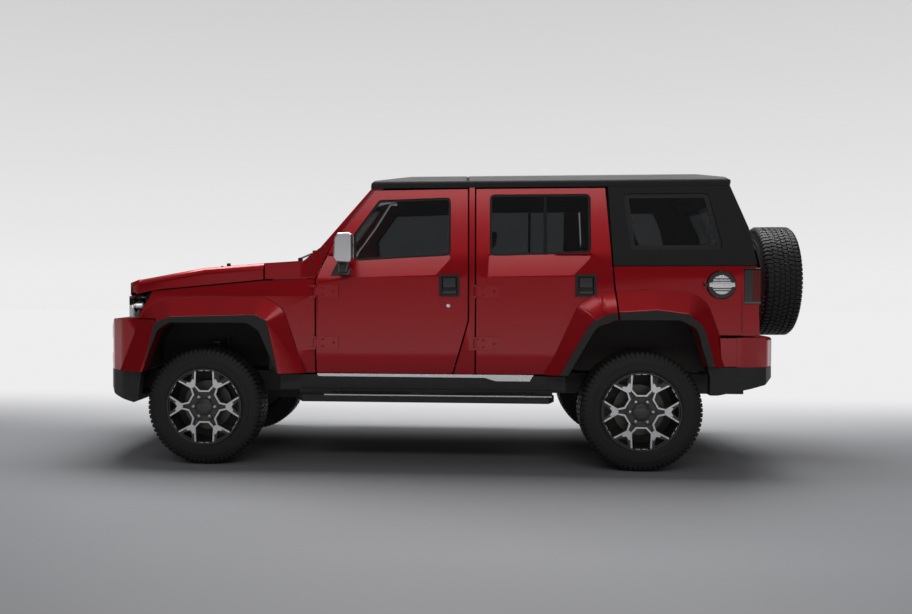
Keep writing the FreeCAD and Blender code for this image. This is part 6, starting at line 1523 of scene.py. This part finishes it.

# %% [markdown]
# The picture is a studio one: a pale floor whose far part glows with painted brightness in place of
# a wall, one broad soft light overhead, two weak ones on the left, and a camera low and level on
# the left side of the car.

# %% floor and sky
def floor_with_painted_glow(title, colour):
    made, tree, shader, where = new_material(title)
    shader.inputs["Roughness"].default_value = 0.55
    shader.inputs["Specular IOR Level"].default_value = 0.2
    cloudy = use_group(tree, where, drift, Color=(*colour, 1), Scale=0.7, Spread=0.05)
    parts = tree.nodes.new("ShaderNodeSeparateXYZ")
    wire(tree, where, "Object", parts, "Vector")
    far = tree.nodes.new("ShaderNodeMapRange")
    far.interpolation_type = "SMOOTHSTEP"
    wire(tree, parts, "Y", far, "Value")
    far.inputs["From Min"].default_value = 0.1
    far.inputs["From Max"].default_value = 3.4
    reach = tree.nodes.new("ShaderNodeVectorMath")
    reach.operation = "LENGTH"
    wire(tree, where, "Object", reach, 0)
    glow_by_reach = place(tree, "ShaderNodeMapRange", From_Min=5.5, From_Max=10.0)
    wire(tree, reach, "Value", glow_by_reach, "Value")
    # Painted glow: with distance from the car the floor's own colour fades to black and an emission
    # of grey 0.84 rises in its place, so the far floor glows as bright as the seen sky instead of
    # being lit.
    painted_glow_mask = maths(tree, "MAXIMUM", far.outputs["Result"], glow_by_reach.outputs["Result"])
    for fade, source, low in ((True, "Base Color", 0.0), (False, "Emission Color", 1.0)):
        mixed = tree.nodes.new("ShaderNodeMix")
        mixed.data_type = "RGBA"
        tree.links.new(painted_glow_mask, mixed.inputs[0])
        mixed.inputs[6].default_value = (0, 0, 0, 1)
        mixed.inputs[7].default_value = (0, 0, 0, 1) if fade else (0.84, 0.84, 0.85, 1)
        if fade:
            wire(tree, cloudy, "Color", mixed, 6)
        wire(tree, mixed, 2, shader, source)
    shader.inputs["Emission Strength"].default_value = 1.0
    return made


clear()
bpy.ops.mesh.primitive_plane_add(size=60, location=(0, 0, 0))
floor = bpy.context.object
floor.name = "studio_floor"
wear(floor, floor_with_painted_glow("floor with painted far glow", (0.30, 0.305, 0.32)))

world = bpy.data.worlds.new("studio")
bpy.context.scene.world = world
world.use_nodes = True
sky = world.node_tree
backdrop = sky.nodes["Background"]
look = sky.nodes.new("ShaderNodeTexCoord")
height = sky.nodes.new("ShaderNodeSeparateXYZ")
wire(sky, look, "Generated", height, "Vector")


def sky_ramp(low, high, dark, light):
    """A grey that runs from one value to another with the height of the view."""
    run = place(sky, "ShaderNodeMapRange", From_Min=low, From_Max=high, To_Min=dark, To_Max=light)
    wire(sky, height, "Z", run, "Value")
    return run.outputs["Result"]


sky.links.new(sky_ramp(0.10, 0.75, 0.10, 0.85), backdrop.inputs["Color"])
backdrop.inputs["Strength"].default_value = 0.26
seen = place(sky, "ShaderNodeBackground", Strength=1.0)
sky.links.new(sky_ramp(0.0, 0.30, 0.84, 0.60), seen.inputs["Color"])
path = sky.nodes.new("ShaderNodeLightPath")
either = maths(sky, "MAXIMUM", path.outputs["Is Camera Ray"],
               path.outputs["Is Transmission Ray"])
switch = sky.nodes.new("ShaderNodeMixShader")
sky.links.new(either, switch.inputs[0])
sky.links.new(backdrop.outputs[0], switch.inputs[1])
sky.links.new(seen.outputs[0], switch.inputs[2])
sky.links.new(switch.outputs[0], sky.nodes["World Output"].inputs["Surface"])


# %% lights
def soft_light(title, place_at, aim, size, power):
    lamp = bpy.data.lights.new(title, "AREA")
    lamp.shape = "RECTANGLE"
    lamp.size, lamp.size_y = size
    lamp.energy = power
    made = bpy.data.objects.new(title, lamp)
    bpy.context.scene.collection.objects.link(made)
    made.location = place_at
    made.rotation_euler = (Vector(aim) - Vector(place_at)).to_track_quat("-Z", "Y").to_euler()
    return made


soft_light("overhead_softbox", (0, 0.9, 4.6), (0, 0.0, 0.8), (6.6, 2.6), 420)
soft_light("side_fill", (0.5, -7.5, 5.15), (0, 0, 0.9), (8.0, 1.0), 78)
soft_light("low_card", (0.3, -8.6, 0.75), (0, 0, 0.75), (9.0, 1.5), 15)

# %% camera
bpy.context.scene.view_settings.view_transform = "Standard"
camera_data = bpy.data.cameras.new("camera")
camera_data.lens = 40.58
camera_data.sensor_width = 36.0
camera_data.shift_x = 0.098
camera_data.clip_end = 200
camera = bpy.data.objects.new("camera", camera_data)
bpy.context.scene.collection.objects.link(camera)
camera.location = (0.0971, -7.353, 1.194)
camera.rotation_euler = (math.pi / 2 - 0.0279, 0, 0.0964)
bpy.context.scene.camera = camera
